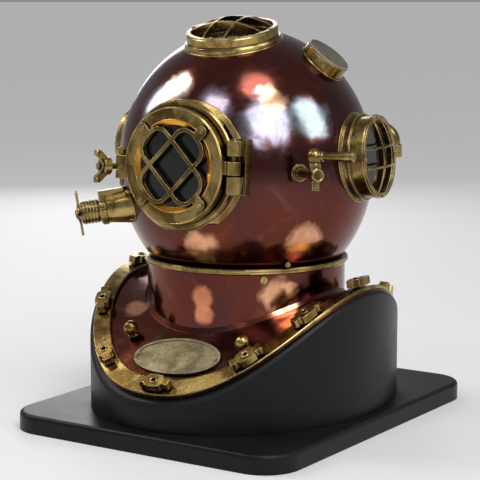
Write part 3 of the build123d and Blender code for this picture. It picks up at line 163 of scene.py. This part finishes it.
# Studio: each soft box has a name, a place, a size, a power and a colour
FLOOR_HALF = 40.0
COOL_WHITE = (0.96, 0.98, 1.0)
COLDER_WHITE = (0.95, 0.98, 1.0)
WARM_WHITE = (1.0, 0.92, 0.82)
PLAIN_WHITE = (1.0, 1.0, 1.0)
WORLD_COLOR = (0.60, 0.60, 0.62, 1.0)
WORLD_STRENGTH = 0.42
LIGHT_TARGET = Vector((0, 0, 0.33))
SOFT_BOXES = (
    ("box_right", (1.44, -0.95, 1.50), (1.2, 1.2), 14, COOL_WHITE),
    ("box_far_right", (1.77, 0.42, 1.43), (0.8, 1.05), 8, COLDER_WHITE),
    ("box_left", (-1.75, -0.45, 1.35), (0.8, 0.7), 6, COOL_WHITE),
    ("box_front", (-0.15, -1.50, 2.00), (0.7, 0.5), 4, PLAIN_WHITE),
    ("lamp_left", (-1.40, -0.50, 1.85), (0.4, 0.4), 8, WARM_WHITE),
    ("back", (-1.4, 1.6, 1.0), (0.8, 1.2), 9, PLAIN_WHITE),
)
SKY_DIRECTION = Vector((0.31, -0.19, 0.93))
SKY_STRENGTH = 1.1
SKY_ANGLE = 25.0


# Frames and surfaces that the detail pieces follow

def outward(origin, azimuth, elevation):
    """Frame whose z axis points out from the helmet, with x level and y upwards."""
    a = radians(azimuth)
    e = radians(elevation)
    out = Vector((sin(a) * cos(e), -cos(a) * cos(e), sin(e)))
    level = Vector((cos(a), sin(a), 0))
    place = Matrix((level, out.cross(level), out)).transposed().to_4x4()
    place.translation = origin
    return place


def shrunk(vector):
    """A vector in the space where the bonnet is a ball of radius one."""
    return Vector([part / radius for part, radius in zip(vector, BONNET_RADII)])


def shell_point(azimuth, elevation):
    """Point of the bonnet's surface in a direction from its middle."""
    out = outward((0, 0, 0), azimuth, elevation).col[2].xyz
    return BONNET_CENTER + out / shrunk(out).length


def dome_height(place, x, y):
    """Height of the bonnet's surface over a point of a port's plane."""
    near = shrunk(place @ Vector((x, y, 0)) - BONNET_CENTER)
    step = shrunk(place.col[2].xyz)
    half = near.dot(step)
    return (sqrt(half ** 2 - step.dot(step) * (near.dot(near) - 1)) - half) / step.dot(step)


def rim_radius(angle):
    """Plan radius of the breastplate's rim."""
    a = radians(angle)
    return 1 / sqrt((cos(a) / RIM_HALF_X) ** 2 + (sin(a) / RIM_HALF_Y) ** 2)


def on_slope(angle, inwards, up):
    """Point over the breastplate's slope, from the rim inwards and up from the copper."""
    a = radians(angle)
    rim = rim_radius(angle)
    low = BOARD_TOP + RIM_FRONT_RISE + RIM_SHOULDER_RISE * (rim * abs(cos(a)) / RIM_HALF_X) ** SADDLE_POWER
    high = BOARD_TOP + CREASE_FRONT_RISE + CREASE_SHOULDER_RISE * cos(a) ** 2
    run = rim - NECK_RADIUS
    fall = low - high
    length = sqrt(run ** 2 + fall ** 2)
    reach = rim - run / length * inwards - fall / length * up
    return Vector((reach * cos(a), reach * sin(a), low - fall / length * inwards + run / length * up))


def slope_frame(angle, inwards, up):
    """Frame on the slope, x along the rim and z out of the copper."""
    here = on_slope(angle, inwards, up)
    ahead = on_slope(angle + TANGENT_STEP, inwards, up)
    behind = on_slope(angle - TANGENT_STEP, inwards, up)
    tangent = (ahead - behind).normalized()
    downhill = (on_slope(angle, inwards - MM, up) - here).normalized()
    out = downhill.cross(tangent).normalized()
    place = Matrix((tangent, out.cross(tangent), out)).transposed().to_4x4()
    place.translation = here
    return place


def neck_point(azimuth, height):
    """Point of the breastplate's upright neck."""
    return outward((0, 0, height), azimuth, 0) @ Vector((0, 0, NECK_RADIUS))


def raised(place, height):
    """The same frame further along its own z axis."""
    return place @ Matrix.Translation((0, 0, height))


FRONT = outward((0, 0, PORT_HEIGHT), 0, FRONT_TILT)
LEFT = outward((0, 0, PORT_HEIGHT), *SIDE_PORT)
RIGHT = outward((0, 0, PORT_HEIGHT), -SIDE_PORT[0], SIDE_PORT[1])
TOP = outward(BONNET_CENTER, *TOP_PORT)
SPEAKING = outward(BONNET_CENTER, *DRUM)
EXHAUST = outward(shell_point(*EXHAUST_ROOT), *EXHAUST_AXIS)
COCK = outward(shell_point(*COCK_ROOT), *COCK_AXIS)
BOLT = FRONT @ Matrix.Translation(BOLT_PIVOT) @ Matrix.Rotation(radians(-BOLT_LEAN), 4, "Y")
PIPE_ELEVATION = degrees(atan2(PIPE_RISE, BONNET_RADII.x))
PIPES = [outward(shell_point(azimuth, PIPE_ELEVATION), azimuth, 0)
         for azimuth in (PIPE_AZIMUTH, -PIPE_AZIMUTH)]
DOWNWARDS = Matrix.Rotation(pi / 2, 4, "X")
UPWARDS = Matrix.Rotation(-pi / 2, 4, "X")


# Shader maths

class Socket:
    """A node's output, so that sums of shader values can be written as Python sums."""

    def __init__(self, tree, link):
        self.tree = tree
        self.link = link

    def math(self, operation, first, second):
        return self.tree.add("ShaderNodeMath", {"operation": operation}, (first, second))

    def __add__(self, other):
        return self.math("ADD", self, other)

    def __sub__(self, other):
        return self.math("SUBTRACT", self, other)

    def __mul__(self, other):
        return self.math("MULTIPLY", self, other)

    def __rsub__(self, other):
        return self.math("SUBTRACT", other, self)

    __radd__ = __add__
    __rmul__ = __mul__


class Finish:
    """One material, built node by node."""

    def __init__(self, name):
        self.material = bpy.data.materials.new(name)
        self.material.use_nodes = True
        self.nodes = self.material.node_tree.nodes
        self.links = self.material.node_tree.links
        self.nodes.clear()
        self.object = self.add("ShaderNodeTexCoord", output="Object")

    def add(self, kind, settings=None, values=(), output=0, stops=None):
        """Add a node, set it, feed its sockets and give back one of its outputs."""
        node = self.nodes.new(kind)
        for name, value in (settings or {}).items():
            setattr(node, name, value)
        if stops:
            ramp = node.color_ramp
            for position, color in stops[1:-1]:
                ramp.elements.new(position)
            for element, (position, color) in zip(ramp.elements, stops):
                element.position = position
                element.color = color
        named = values.items() if isinstance(values, dict) else enumerate(values)
        for key, value in named:
            if value is None:
                continue
            if isinstance(value, Socket):
                self.links.new(value.link, node.inputs[key])
            else:
                node.inputs[key].default_value = value
        return Socket(self, node.outputs[output]) if node.outputs else None

    def noise(self, scale, detail=4.0, roughness=0.5, distortion=0.0, stretch=None, offset=(0, 0, 0)):
        place = self.object
        if stretch or any(offset):
            place = self.add("ShaderNodeMapping", {}, {"Vector": place, "Location": offset,
                                                       "Scale": stretch or (1, 1, 1)})
        return self.add("ShaderNodeTexNoise", {}, {"Vector": place, "Scale": scale, "Detail": detail,
                                                   "Roughness": roughness, "Distortion": distortion})

    def band(self, value, low, high):
        """Smooth step from nought at one value to one at another."""
        return self.add("ShaderNodeMapRange", {"interpolation_type": "SMOOTHSTEP"},
                        {"Value": value, "From Min": low, "From Max": high})

    def patch(self, place, radius, ragged):
        """One inside a patch about a place, nought outside it, with a ragged edge from a noise."""
        away = self.add("ShaderNodeVectorMath", {"operation": "DISTANCE"}, (self.object, place),
                        output="Value")
        edge = away + (ragged - 0.5) * radius * PATCH_RAGGED
        return self.band(edge, radius * PATCH_FADE, radius * PATCH_FULL)

    def mix(self, share, first, second):
        """Colour between two colours."""
        return self.add("ShaderNodeMix", {"data_type": "RGBA", "clamp_factor": True},
                        {0: share, 6: first, 7: second}, output=2)

    def bump(self, height, strength, distance, normal=None):
        return self.add("ShaderNodeBump", {}, {"Height": height, "Strength": strength,
                                               "Distance": distance, "Normal": normal})

    def soft_edges(self, radius):
        """Normal that rounds every edge over."""
        return self.add("ShaderNodeBevel", {"samples": EDGE_SAMPLES}, {"Radius": radius})

    def edges(self, radius):
        """One on edges and corners, nought on open faces."""
        true_normal = self.add("ShaderNodeNewGeometry", output="True Normal")
        facing = self.add("ShaderNodeVectorMath", {"operation": "DOT_PRODUCT"},
                          (self.soft_edges(radius), true_normal), output="Value")
        return self.band(facing, EDGE_BEGINS, EDGE_FULL)

    def recess(self, distance):
        """One deep in a recess, nought in the open."""
        return 1 - self.add("ShaderNodeAmbientOcclusion", {"samples": RECESS_SAMPLES},
                            {"Distance": distance}, output="AO")

    def shader(self, **values):
        """Close the material with its surface."""
        named = {name.replace("_", " "): value for name, value in values.items()}
        surface = self.add("ShaderNodeBsdfPrincipled", {}, named)
        self.add("ShaderNodeOutputMaterial", {}, {"Surface": surface})
        return self.material


def rgb(red, green, blue):
    return (red, green, blue, 1.0)


# Colours

COPPER_RED = rgb(0.150, 0.036, 0.020)
COPPER_PLUM = rgb(0.095, 0.034, 0.034)
COPPER_WARM = rgb(0.28, 0.075, 0.036)
COPPER_DULL = rgb(0.12, 0.04, 0.03)
COPPER_RECESS_SHADE = rgb(0.035, 0.014, 0.010)
TEMPER_RAMP = (
    (0.30, rgb(0.15, 0.09, 0.16)), (0.45, rgb(0.20, 0.13, 0.18)), (0.55, rgb(0.26, 0.13, 0.10)),
    (0.66, rgb(0.15, 0.17, 0.16)), (0.78, rgb(0.14, 0.16, 0.21)),
)
BRASS_DARK = rgb(0.17, 0.105, 0.030)
BRASS_GOLD = rgb(0.50, 0.36, 0.125)
BRASS_SPOT = rgb(0.11, 0.06, 0.022)
BRASS_RECESS_SHADE = rgb(0.025, 0.014, 0.006)
BRASS_WEAR_AND_HIGHLIGHT = rgb(0.82, 0.62, 0.30)
SIGHT_AMBER = rgb(0.86, 0.42, 0.05)
PLATE_DARK = rgb(0.15, 0.125, 0.070)
PLATE_LIGHT = rgb(0.31, 0.27, 0.165)
PLATE_PIT = rgb(0.06, 0.05, 0.03)
PLATE_RECESS_SHADE = rgb(0.02, 0.017, 0.011)
PLATE_WORN = rgb(0.60, 0.53, 0.34)
STAND_BLACK = rgb(0.003, 0.003, 0.0035)
STAND_CLOUD = rgb(0.007, 0.007, 0.008)
STAND_DUST = rgb(0.03, 0.03, 0.031)
GLASS_BLACK = rgb(0.003, 0.004, 0.004)
GLASS_FILM = rgb(0.010, 0.013, 0.012)
SEAL_DARK = rgb(0.60, 0.22, 0.02)
SEAL_LIGHT = rgb(0.78, 0.36, 0.05)
LEATHER_DARK = rgb(0.06, 0.03, 0.015)
LEATHER_LIGHT = rgb(0.12, 0.065, 0.03)
WIRE_DARK = rgb(0.35, 0.34, 0.32)
WIRE_LIGHT = rgb(0.58, 0.57, 0.54)
BRONZE_DARK = rgb(0.27, 0.22, 0.15)
BRONZE_LIGHT = rgb(0.42, 0.37, 0.28)
BRONZE_SPOT = rgb(0.13, 0.10, 0.07)
FLOOR_DARK = rgb(0.7644, 0.7644, 0.7644)
FLOOR_LIGHT = rgb(0.78, 0.78, 0.78)

# Painted reflections of the studio lamps on the copper, as place, radius and colour
PALE_BLUE = rgb(0.38, 0.39, 0.49)
PALE_GREEN = rgb(0.34, 0.42, 0.45)
PALE_MAUVE = rgb(0.36, 0.30, 0.38)
CREAM = rgb(0.98, 0.80, 0.68)
PEACH = rgb(0.98, 0.50, 0.28)
ORANGE = rgb(0.88, 0.33, 0.17)
PAINTED_REFLECTIONS = (
    (shell_point(44, 25), 33 * MM, PALE_BLUE), (shell_point(65, 25), 26 * MM, PALE_GREEN),
    (shell_point(-18, 31), 26 * MM, PALE_BLUE), (shell_point(18, 32), 22 * MM, PALE_MAUVE),
    (shell_point(-8, 40), 20 * MM, CREAM), (shell_point(47, 35), 17 * MM, PEACH),
    (shell_point(10, -31), 21 * MM, PEACH), (shell_point(62, -30), 24 * MM, PEACH),
    (neck_point(8, 168 * MM), 14 * MM, ORANGE), (neck_point(9, 150 * MM), 13 * MM, ORANGE),
    (neck_point(53, 171 * MM), 22 * MM, PEACH),
    (on_slope(-135, 57 * MM, 0), 15 * MM, PEACH), (on_slope(-39, 30 * MM, 0), 16 * MM, ORANGE),
)


# Finishes

def copper_finish():
    """Dark polished copper with purple and brown patches, random temper tints, bright painted reflections
    of lamps at fixed places and painted shade in its recesses.
    """
    f = Finish("polished_copper")
    broad = f.noise(7.0, 3.0, 0.55, 0.6)
    patches = f.noise(13.0, 4.0, 0.55, 1.2, offset=(0.3, 0.1, 0.7))
    fine = f.noise(60.0, 5.0, 0.6)
    scratches = f.noise(90.0, 3.0, 0.6, stretch=(1.0, 1.0, 9.0))
    base = f.mix(f.band(broad, 0.38, 0.62), COPPER_RED, COPPER_PLUM)
    base = f.mix(f.band(patches, 0.56, 0.72) * 0.7, base, COPPER_WARM)
    sheen = f.noise(9.0, 2.0, 0.5, 1.8, offset=(1.7, 0.4, 0.2))
    swirl = f.noise(16.0, 2.0, 0.5, 2.0, offset=(0.8, 2.1, 0.3))
    tints = f.add("ShaderNodeValToRGB", {}, (swirl,), stops=TEMPER_RAMP)
    base = f.mix(f.band(sheen, 0.56, 0.74) * 0.5, base, tints)
    ragged = f.noise(34.0, 3.0, 0.55, 0.6, offset=(0.2, 0.9, 0.5))
    # Painted reflections: pale blue, cream, peach and orange patches where lamps would be mirrored in the
    # copper
    for place, radius, color in PAINTED_REFLECTIONS:
        base = f.mix(f.patch(place, radius, ragged) * 0.85, base, color)
    base = f.mix(f.band(fine, 0.35, 0.7) * 0.25, base, COPPER_DULL)
    # Painted shade: near-black darkening of recesses from ambient occlusion
    base = f.mix(f.band(f.recess(10 * MM), 0.15, 0.75) * 0.85, base, COPPER_RECESS_SHADE)
    rough = 0.13 + f.band(fine, 0.3, 0.8) * 0.09 + f.band(scratches, 0.5, 0.8) * 0.07
    normal = f.bump(scratches, 0.05, 0.4 * MM, f.soft_edges(0.8 * MM))
    return f.shader(Base_Color=base, Metallic=1.0, Roughness=rough, Normal=normal)


def sight_share(f):
    """One inside the door's sight, seen straight from the front of the door, nought outside."""
    turn = radians(FRONT_TILT)
    middle = Vector((0, -cos(turn) * DOOR_FACE, PORT_HEIGHT + sin(turn) * DOOR_FACE))
    local = f.add("ShaderNodeMapping", {"vector_type": "TEXTURE"},
                  {"Vector": f.object, "Location": middle, "Rotation": (-turn, 0, 0)})
    flat = f.add("ShaderNodeVectorMath", {"operation": "MULTIPLY"}, (local, (1, 0, 1)))
    reach = f.add("ShaderNodeVectorMath", {"operation": "LENGTH"}, (flat,), output="Value")
    return f.band(reach, DOOR_SIGHT, DOOR_SIGHT - SIGHT_FADE)


def brass_finish(name, sight=False):
    """Rubbed brass, with painted shade darkening its recesses and edges brightened partly by wear and
    partly as a painted highlight.
    """
    f = Finish(name)
    cloud = f.noise(26.0, 4.0, 0.55, 0.8)
    spots = f.noise(120.0, 5.0, 0.65)
    lines = f.noise(160.0, 2.0, 0.5, stretch=(1.0, 1.0, 6.0))
    base = f.mix(f.band(cloud, 0.40, 0.62), BRASS_DARK, BRASS_GOLD)
    base = f.mix(f.band(spots, 0.55, 0.75) * 0.30, base, BRASS_SPOT)
    if sight:
        base = f.mix(sight_share(f) * 0.9, base, SIGHT_AMBER)
    # Painted shade: near-black darkening of recesses from ambient occlusion
    base = f.mix(f.band(f.recess(6 * MM), 0.10, 0.50) * 0.95, base, BRASS_RECESS_SHADE)
    # Edges brightened partly as rubbed wear and partly as a painted highlight of the rims
    base = f.mix(f.edges(1.2 * MM) * 0.8, base, BRASS_WEAR_AND_HIGHLIGHT)
    rough = 0.20 + f.band(spots, 0.4, 0.75) * 0.09 + f.band(lines, 0.45, 0.8) * 0.05
    normal = f.bump(spots, 0.05, 0.3 * MM, f.soft_edges(0.7 * MM))
    return f.shader(Base_Color=base, Metallic=1.0, Roughness=rough, Normal=normal)


def plate_finish():
    """Tarnished nickel-brass of the blank plate."""
    f = Finish("tarnished_plate")
    cloud = f.noise(45.0, 5.0, 0.6, 0.5)
    pits = f.noise(220.0, 4.0, 0.65)
    base = f.mix(f.band(cloud, 0.35, 0.65), PLATE_DARK, PLATE_LIGHT)
    base = f.mix(f.band(pits, 0.5, 0.7) * 0.5, base, PLATE_PIT)
    # Painted shade: near-black darkening of recesses from ambient occlusion
    base = f.mix(f.band(f.recess(4 * MM), 0.1, 0.5) * 0.9, base, PLATE_RECESS_SHADE)
    base = f.mix(f.edges(0.8 * MM) * 0.7, base, PLATE_WORN)
    rough = 0.34 + f.band(pits, 0.4, 0.7) * 0.2
    normal = f.bump(pits, 0.35, 0.4 * MM, f.soft_edges(0.4 * MM))
    return f.shader(Base_Color=base, Metallic=1.0, Roughness=rough, Normal=normal)


def stand_finish():
    """Black satin lacquer with faint clouds and dust."""
    f = Finish("black_satin")
    cloud = f.noise(6.0, 4.0, 0.6)
    dust = f.noise(240.0, 3.0, 0.6)
    base = f.mix(f.band(cloud, 0.3, 0.7), STAND_BLACK, STAND_CLOUD)
    base = f.mix(f.band(dust, 0.62, 0.8) * 0.4, base, STAND_DUST)
    rough = 0.34 + f.band(cloud, 0.3, 0.7) * 0.14
    normal = f.bump(dust, 0.06, 0.4 * MM, f.soft_edges(2 * MM))
    return f.shader(Base_Color=base, Specular_IOR_Level=0.22, Roughness=rough, Normal=normal)


def glass_finish():
    """Thick dark window glass with a faint film of dust."""
    f = Finish("port_glass")
    film = f.noise(30.0, 4.0, 0.6)
    base = f.mix(f.band(film, 0.4, 0.7), GLASS_BLACK, GLASS_FILM)
    rough = 0.04 + f.band(film, 0.4, 0.75) * 0.08
    return f.shader(Base_Color=base, Roughness=rough, Coat_Weight=0.15, Coat_Roughness=0.03)


def seal_finish():
    """Orange rubber seal."""
    f = Finish("orange_seal")
    cloud = f.noise(80.0, 4.0, 0.6)
    base = f.mix(f.band(cloud, 0.3, 0.7), SEAL_DARK, SEAL_LIGHT)
    return f.shader(Base_Color=base, Roughness=0.5, Normal=f.bump(cloud, 0.2, 0.3 * MM))


def gasket_finish():
    """Oiled leather."""
    f = Finish("oiled_leather")
    grain = f.add("ShaderNodeTexVoronoi", {"feature": "F1"}, {"Vector": f.object, "Scale": 700.0})
    cloud = f.noise(50.0, 4.0, 0.6)
    base = f.mix(f.band(cloud, 0.3, 0.7), LEATHER_DARK, LEATHER_LIGHT)
    return f.shader(Base_Color=base, Roughness=0.55, Normal=f.bump(grain, 0.3, 0.3 * MM))


def spring_finish():
    """Drawn spring wire."""
    f = Finish("spring_wire")
    cloud = f.noise(200.0, 4.0, 0.6)
    base = f.mix(f.band(cloud, 0.3, 0.7), WIRE_DARK, WIRE_LIGHT)
    return f.shader(Base_Color=base, Metallic=1.0, Roughness=0.32, Normal=f.bump(cloud, 0.1, 0.2 * MM))


def drum_finish():
    """Grey bronze of the speaking drum's cover."""
    f = Finish("grey_bronze")
    cloud = f.noise(30.0, 5.0, 0.6, 0.5)
    spots = f.noise(150.0, 4.0, 0.6)
    base = f.mix(f.band(cloud, 0.35, 0.65), BRONZE_DARK, BRONZE_LIGHT)
    base = f.mix(f.band(spots, 0.5, 0.72) * 0.4, base, BRONZE_SPOT)
    rough = 0.36 + f.band(spots, 0.4, 0.7) * 0.14
    normal = f.bump(spots, 0.15, 0.3 * MM, f.soft_edges(0.6 * MM))
    return f.shader(Base_Color=base, Metallic=1.0, Roughness=rough, Normal=normal)


def floor_finish():
    """Pale matt floor with a faint cloud."""
    f = Finish("pale_floor")
    base = f.mix(f.noise(3.0, 3.0, 0.5), FLOOR_DARK, FLOOR_LIGHT)
    return f.shader(Base_Color=base, Roughness=0.7)


FINISHES = {
    "copper": copper_finish(),
    "brass": brass_finish("aged_brass"),
    "door_brass": brass_finish("door_brass", sight=True),
    "plate": plate_finish(),
    "stand": stand_finish(),
    "glass": glass_finish(),
    "gasket": gasket_finish(),
    "seal": seal_finish(),
    "spring": spring_finish(),
    "drum": drum_finish(),
}
SPECIAL = {"door_ring": "door_brass", "drum_cover": "drum"}


def finish_nodes():
    """Give every carried-over node the finish of its slot, or its own special one."""
    slots = {part["node"]: part["material_slot"] for part in frame["record"]["subparts"]}
    for name, node in frame["nodes"].items():
        finish = FINISHES[SPECIAL.get(name, slots[name])]
        for slot in node.material_slots:
            slot.material = finish


# Detail pieces

def bead(radius, height, thickness):
    """Small round section of a bead at a radius and a height."""
    turns = [tau * index / BEAD_POINTS for index in range(BEAD_POINTS)]
    return [(radius + thickness * cos(turn), height + thickness * sin(turn)) for turn in turns]


def section_at(corners, height=0.0):
    """Section in metres, lifted to a height, from its corners in millimetres."""
    return [(radius * MM, height + up * MM) for radius, up in corners]


def add_ring(bm, section, place, steps=96, arc=(0.0, 360.0), follow=None):
    """Spin a closed section about a frame's z axis, and let it follow the dome at a radius."""
    known = set(bm.verts)
    start, turn = arc
    corners = [bm.verts.new((radius, 0, height)) for radius, height in section]
    sides = [bm.edges.new((corners[index - 1], corners[index])) for index in range(len(corners))]
    bmesh.ops.spin(bm, geom=corners + sides, cent=(0, 0, 0), axis=(0, 0, 1), angle=radians(turn),
                   steps=steps, use_merge=turn == 360.0)
    made = [vertex for vertex in bm.verts if vertex not in known]
    bmesh.ops.rotate(bm, verts=made, cent=(0, 0, 0), matrix=Matrix.Rotation(radians(start), 3, "Z"))
    if follow:
        for vertex in made:
            flat = vertex.co.xy.normalized() * follow
            vertex.co.z += dome_height(place, flat.x, flat.y)
    bmesh.ops.transform(bm, matrix=place, verts=made)


def add_block(bm, size, place, edge):
    """Small block with eased edges, in the middle of a frame."""
    known = set(bm.edges)
    bmesh.ops.create_cube(bm, size=1.0, matrix=place @ Matrix.Diagonal((*size, 1.0)))
    sides = [side for side in bm.edges if side not in known]
    bmesh.ops.bevel(bm, geom=sides, offset=edge, offset_type="OFFSET", segments=2, profile=0.5,
                    affect="EDGES", material=-1)


def keep(name, bm, body, finish="brass"):
    """Turn a finished bmesh into a smooth brass piece that rides on its body."""
    bmesh.ops.remove_doubles(bm, verts=bm.verts[:], dist=MERGE_DISTANCE)
    bmesh.ops.recalc_face_normals(bm, faces=bm.faces[:])
    mesh = bpy.data.meshes.new(name)
    bm.to_mesh(mesh)
    bm.free()
    for polygon in mesh.polygons:
        polygon.use_smooth = True
    mesh.materials.append(FINISHES[finish])
    piece = bpy.data.objects.new(name, mesh)
    bpy.context.collection.objects.link(piece)
    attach(piece, body)


def make_solder_beads():
    """Thin fillet of solder where each fitting meets the copper."""
    bm = bmesh.new()
    fittings = [(LEFT, SIDE_FLANGE_RADIUS), (RIGHT, SIDE_FLANGE_RADIUS), (TOP, TOP_FLANGE_RADIUS),
                (SPEAKING, DRUM_RADIUS), (EXHAUST, EXHAUST_FOOT_RADIUS), (COCK, COCK_FLANGE_RADIUS)]
    fittings += [(place, PIPE_FLANGE_RADIUS) for place in PIPES]
    for place, radius in fittings:
        reach = radius + SOLDER_LEAD
        add_ring(bm, bead(reach, 0, SOLDER_BEAD), place, follow=reach)
    reach = SEAT_RADIUS + SEAT_SOLDER_LEAD
    add_ring(bm, bead(reach, 0, SEAT_SOLDER_BEAD), FRONT, steps=60, arc=SEAT_SOLDER_ARC, follow=reach)
    keep("solder_beads", bm, "bonnet_body")


def make_neck_ridges():
    """Two fine ridges round the bonnet's flange."""
    bm = bmesh.new()
    for height in (FLANGE_LOW + NECK_RIDGE_INSET, FLANGE_TOP - NECK_RIDGE_INSET):
        add_ring(bm, bead(FLANGE_RADIUS, height, NECK_RIDGE_BEAD), Matrix(), steps=144)
    keep("neck_flange_ridges", bm, "bonnet_body")


def make_door_ridges():
    """Rounded rim and inner step on the face of the front door."""
    bm = bmesh.new()
    add_ring(bm, bead(DOOR_RIM_RADIUS, DOOR_FACE - DOOR_RIM_DEPTH, DOOR_RIM_BEAD), FRONT, steps=120)
    add_ring(bm, bead(DOOR_STEP_RADIUS, DOOR_FACE - DOOR_STEP_DEPTH, DOOR_STEP_BEAD), FRONT, steps=120)
    keep("door_ridges", bm, "front_door", "door_brass")


def make_seat_ridge():
    """Ridge round the flank of the door's seat, left out at the hinge and at the swing bolt."""
    bm = bmesh.new()
    for arc in SEAT_RIDGE_ARCS:
        add_ring(bm, bead(SEAT_RADIUS, SEAT_RIDGE_HEIGHT, SEAT_RIDGE_BEAD), FRONT, steps=84, arc=arc)
    keep("seat_ridge", bm, "bonnet_body")


def make_nut_collars():
    """Turned collar round the stud on every wing nut."""
    bm = bmesh.new()
    for angle in NUT_ANGLES:
        growth = (STRAP_WIDTH_FRONT - STRAP_WIDTH_SIDE) * sin(radians(angle)) ** 2
        middle = STRAP_INSET + (STRAP_WIDTH_SIDE + growth) / 2
        place = raised(slope_frame(angle, middle, STRAP_TOP), NUT_HEIGHT)
        add_ring(bm, section_at(NUT_COLLAR_SECTION), place, steps=32)
    keep("wing_nut_collars", bm, "corselet")


def make_exhaust_ribs():
    """Ribs round the exhaust valve's collar."""
    bm = bmesh.new()
    length = EXHAUST_COLLAR_HIGH - EXHAUST_COLLAR_LOW
    middle = (EXHAUST_COLLAR_LOW + EXHAUST_COLLAR_HIGH) / 2
    size = (COLLAR_RIB_DEPTH, COLLAR_RIB_WIDTH, length * COLLAR_RIB_SHARE)
    out = Matrix.Translation((EXHAUST_COLLAR_RADIUS, 0, middle))
    for index in range(COLLAR_RIB_COUNT):
        turn = Matrix.Rotation(tau * index / COLLAR_RIB_COUNT, 4, "Z")
        add_block(bm, size, EXHAUST @ turn @ out, COLLAR_RIB_EDGE)
    keep("exhaust_collar_ribs", bm, "bonnet_body")


def make_exhaust_wheel_nut():
    """Domed nut and ring on the hub of the exhaust valve's wheel."""
    bm = bmesh.new()
    add_ring(bm, section_at(WHEEL_NUT_SECTION, EXHAUST_WHEEL_TOP), EXHAUST, steps=32)
    add_ring(bm, bead(WHEEL_RING_RADIUS, EXHAUST_WHEEL_TOP, WHEEL_RING_BEAD), EXHAUST, steps=48)
    keep("exhaust_wheel_nut", bm, "valve_wheel")


def make_cock_rings():
    """Raised rim on the end of the spit cock's barrel and rings on its spout."""
    bm = bmesh.new()
    add_ring(bm, section_at(BARREL_RIM_SECTION, COCK_BARREL_END), COCK, steps=40)
    spout = raised(COCK, COCK_MIDDLE) @ DOWNWARDS
    for drop in SPOUT_RING_DROPS:
        add_ring(bm, bead(COCK_SPOUT_RADIUS, drop, SPOUT_RING_BEAD), spout, steps=32)
    keep("spit_cock_rings", bm, "bonnet_body")


def make_packing_ring():
    """Fine ring round the collar of the spit cock's plug."""
    bm = bmesh.new()
    plug = raised(COCK, COCK_MIDDLE) @ UPWARDS
    add_ring(bm, bead(COCK_COLLAR_RADIUS, PACKING_RING_HEIGHT, PACKING_RING_BEAD), plug, steps=32)
    keep("spit_cock_packing_ring", bm, "cock_lever")


def make_hose_threads():
    """Turns of the hose thread on both goosenecks, under a round collar."""
    bm = bmesh.new()
    collar_radius = HOSE_THREAD_RADIUS - THREAD_COLLAR_BEAD
    collar_height = HOSE_THREAD_TOP - THREAD_COLLAR_RISE
    for place in PIPES:
        down = raised(place, PIPE_REACH) @ DOWNWARDS
        for turn in range(THREAD_TURNS):
            height = HOSE_THREAD_TOP + THREAD_START + THREAD_PITCH * turn
            add_ring(bm, bead(HOSE_THREAD_RADIUS, height, THREAD_BEAD), down, steps=48)
        add_ring(bm, bead(collar_radius, collar_height, THREAD_COLLAR_BEAD), down, steps=48)
    keep("hose_threads", bm, "bonnet_body")


def make_door_nut_tips():
    """Round ends on the wings of the door's nut and a ring round its hub."""
    bm = bmesh.new()
    for side in (-1, 1):
        tip = BOLT @ Matrix.Translation((0, side * NUT_TIP_OUT, BOLT_SEAT + NUT_TIP_OUT))
        bmesh.ops.create_uvsphere(bm, u_segments=20, v_segments=12, radius=NUT_TIP_RADIUS, matrix=tip)
    add_ring(bm, bead(NUT_RING_RADIUS, BOLT_SEAT + NUT_RING_HEIGHT, NUT_RING_BEAD), BOLT, steps=40)
    keep("door_nut_tips", bm, "bolt_nut")


# Room, light and camera

def make_room():
    """Plain pale floor, wide enough to fill the picture."""
    bm = bmesh.new()
    bmesh.ops.create_grid(bm, x_segments=1, y_segments=1, size=FLOOR_HALF)
    mesh = bpy.data.meshes.new("floor")
    bm.to_mesh(mesh)
    bm.free()
    mesh.materials.append(floor_finish())
    floor = bpy.data.objects.new("floor", mesh)
    bpy.context.collection.objects.link(floor)


def add_lamp(name, kind, strength, direction):
    """Lamp at the origin whose light comes from a direction."""
    data = bpy.data.lights.new(name, kind)
    data.energy = strength
    lamp = bpy.data.objects.new(name, data)
    lamp.rotation_euler = direction.to_track_quat("Z", "Y").to_euler()
    bpy.context.collection.objects.link(lamp)
    return lamp


def make_light():
    """Even grey world, soft boxes round the helmet and a wide soft sun."""
    world = bpy.data.worlds.new("studio")
    bpy.context.scene.world = world
    world.use_nodes = True
    background = world.node_tree.nodes["Background"]
    background.inputs["Color"].default_value = WORLD_COLOR
    background.inputs["Strength"].default_value = WORLD_STRENGTH
    for name, place, size, power, color in SOFT_BOXES:
        lamp = add_lamp(name, "AREA", power, Vector(place) - LIGHT_TARGET)
        lamp.location = place
        lamp.data.shape = "RECTANGLE"
        lamp.data.size, lamp.data.size_y = size
        lamp.data.color = color
    sky = add_lamp("sky", "SUN", SKY_STRENGTH, SKY_DIRECTION)
    sky.data.angle = radians(SKY_ANGLE)


def make_camera():
    """Camera that sees the helmet as the photograph does."""
    data = bpy.data.cameras.new("camera")
    data.lens = LENS_MM
    data.sensor_width = SENSOR_MM
    data.clip_end = FAR_CLIP
    camera = bpy.data.objects.new("camera", data)
    bpy.context.collection.objects.link(camera)
    camera.location = CAMERA_PLACE
    camera.rotation_euler = (radians(90 - CAMERA_PITCH), 0, radians(CAMERA_AZIMUTH))
    bpy.context.scene.camera = camera


finish_nodes()
make_solder_beads()
make_neck_ridges()
make_door_ridges()
make_seat_ridge()
make_nut_collars()
make_exhaust_ribs()
make_exhaust_wheel_nut()
make_cock_rings()
make_packing_ring()
make_hose_threads()
make_door_nut_tips()
make_room()
make_light()
make_camera()
bpy.context.scene.view_settings.view_transform = "Standard"
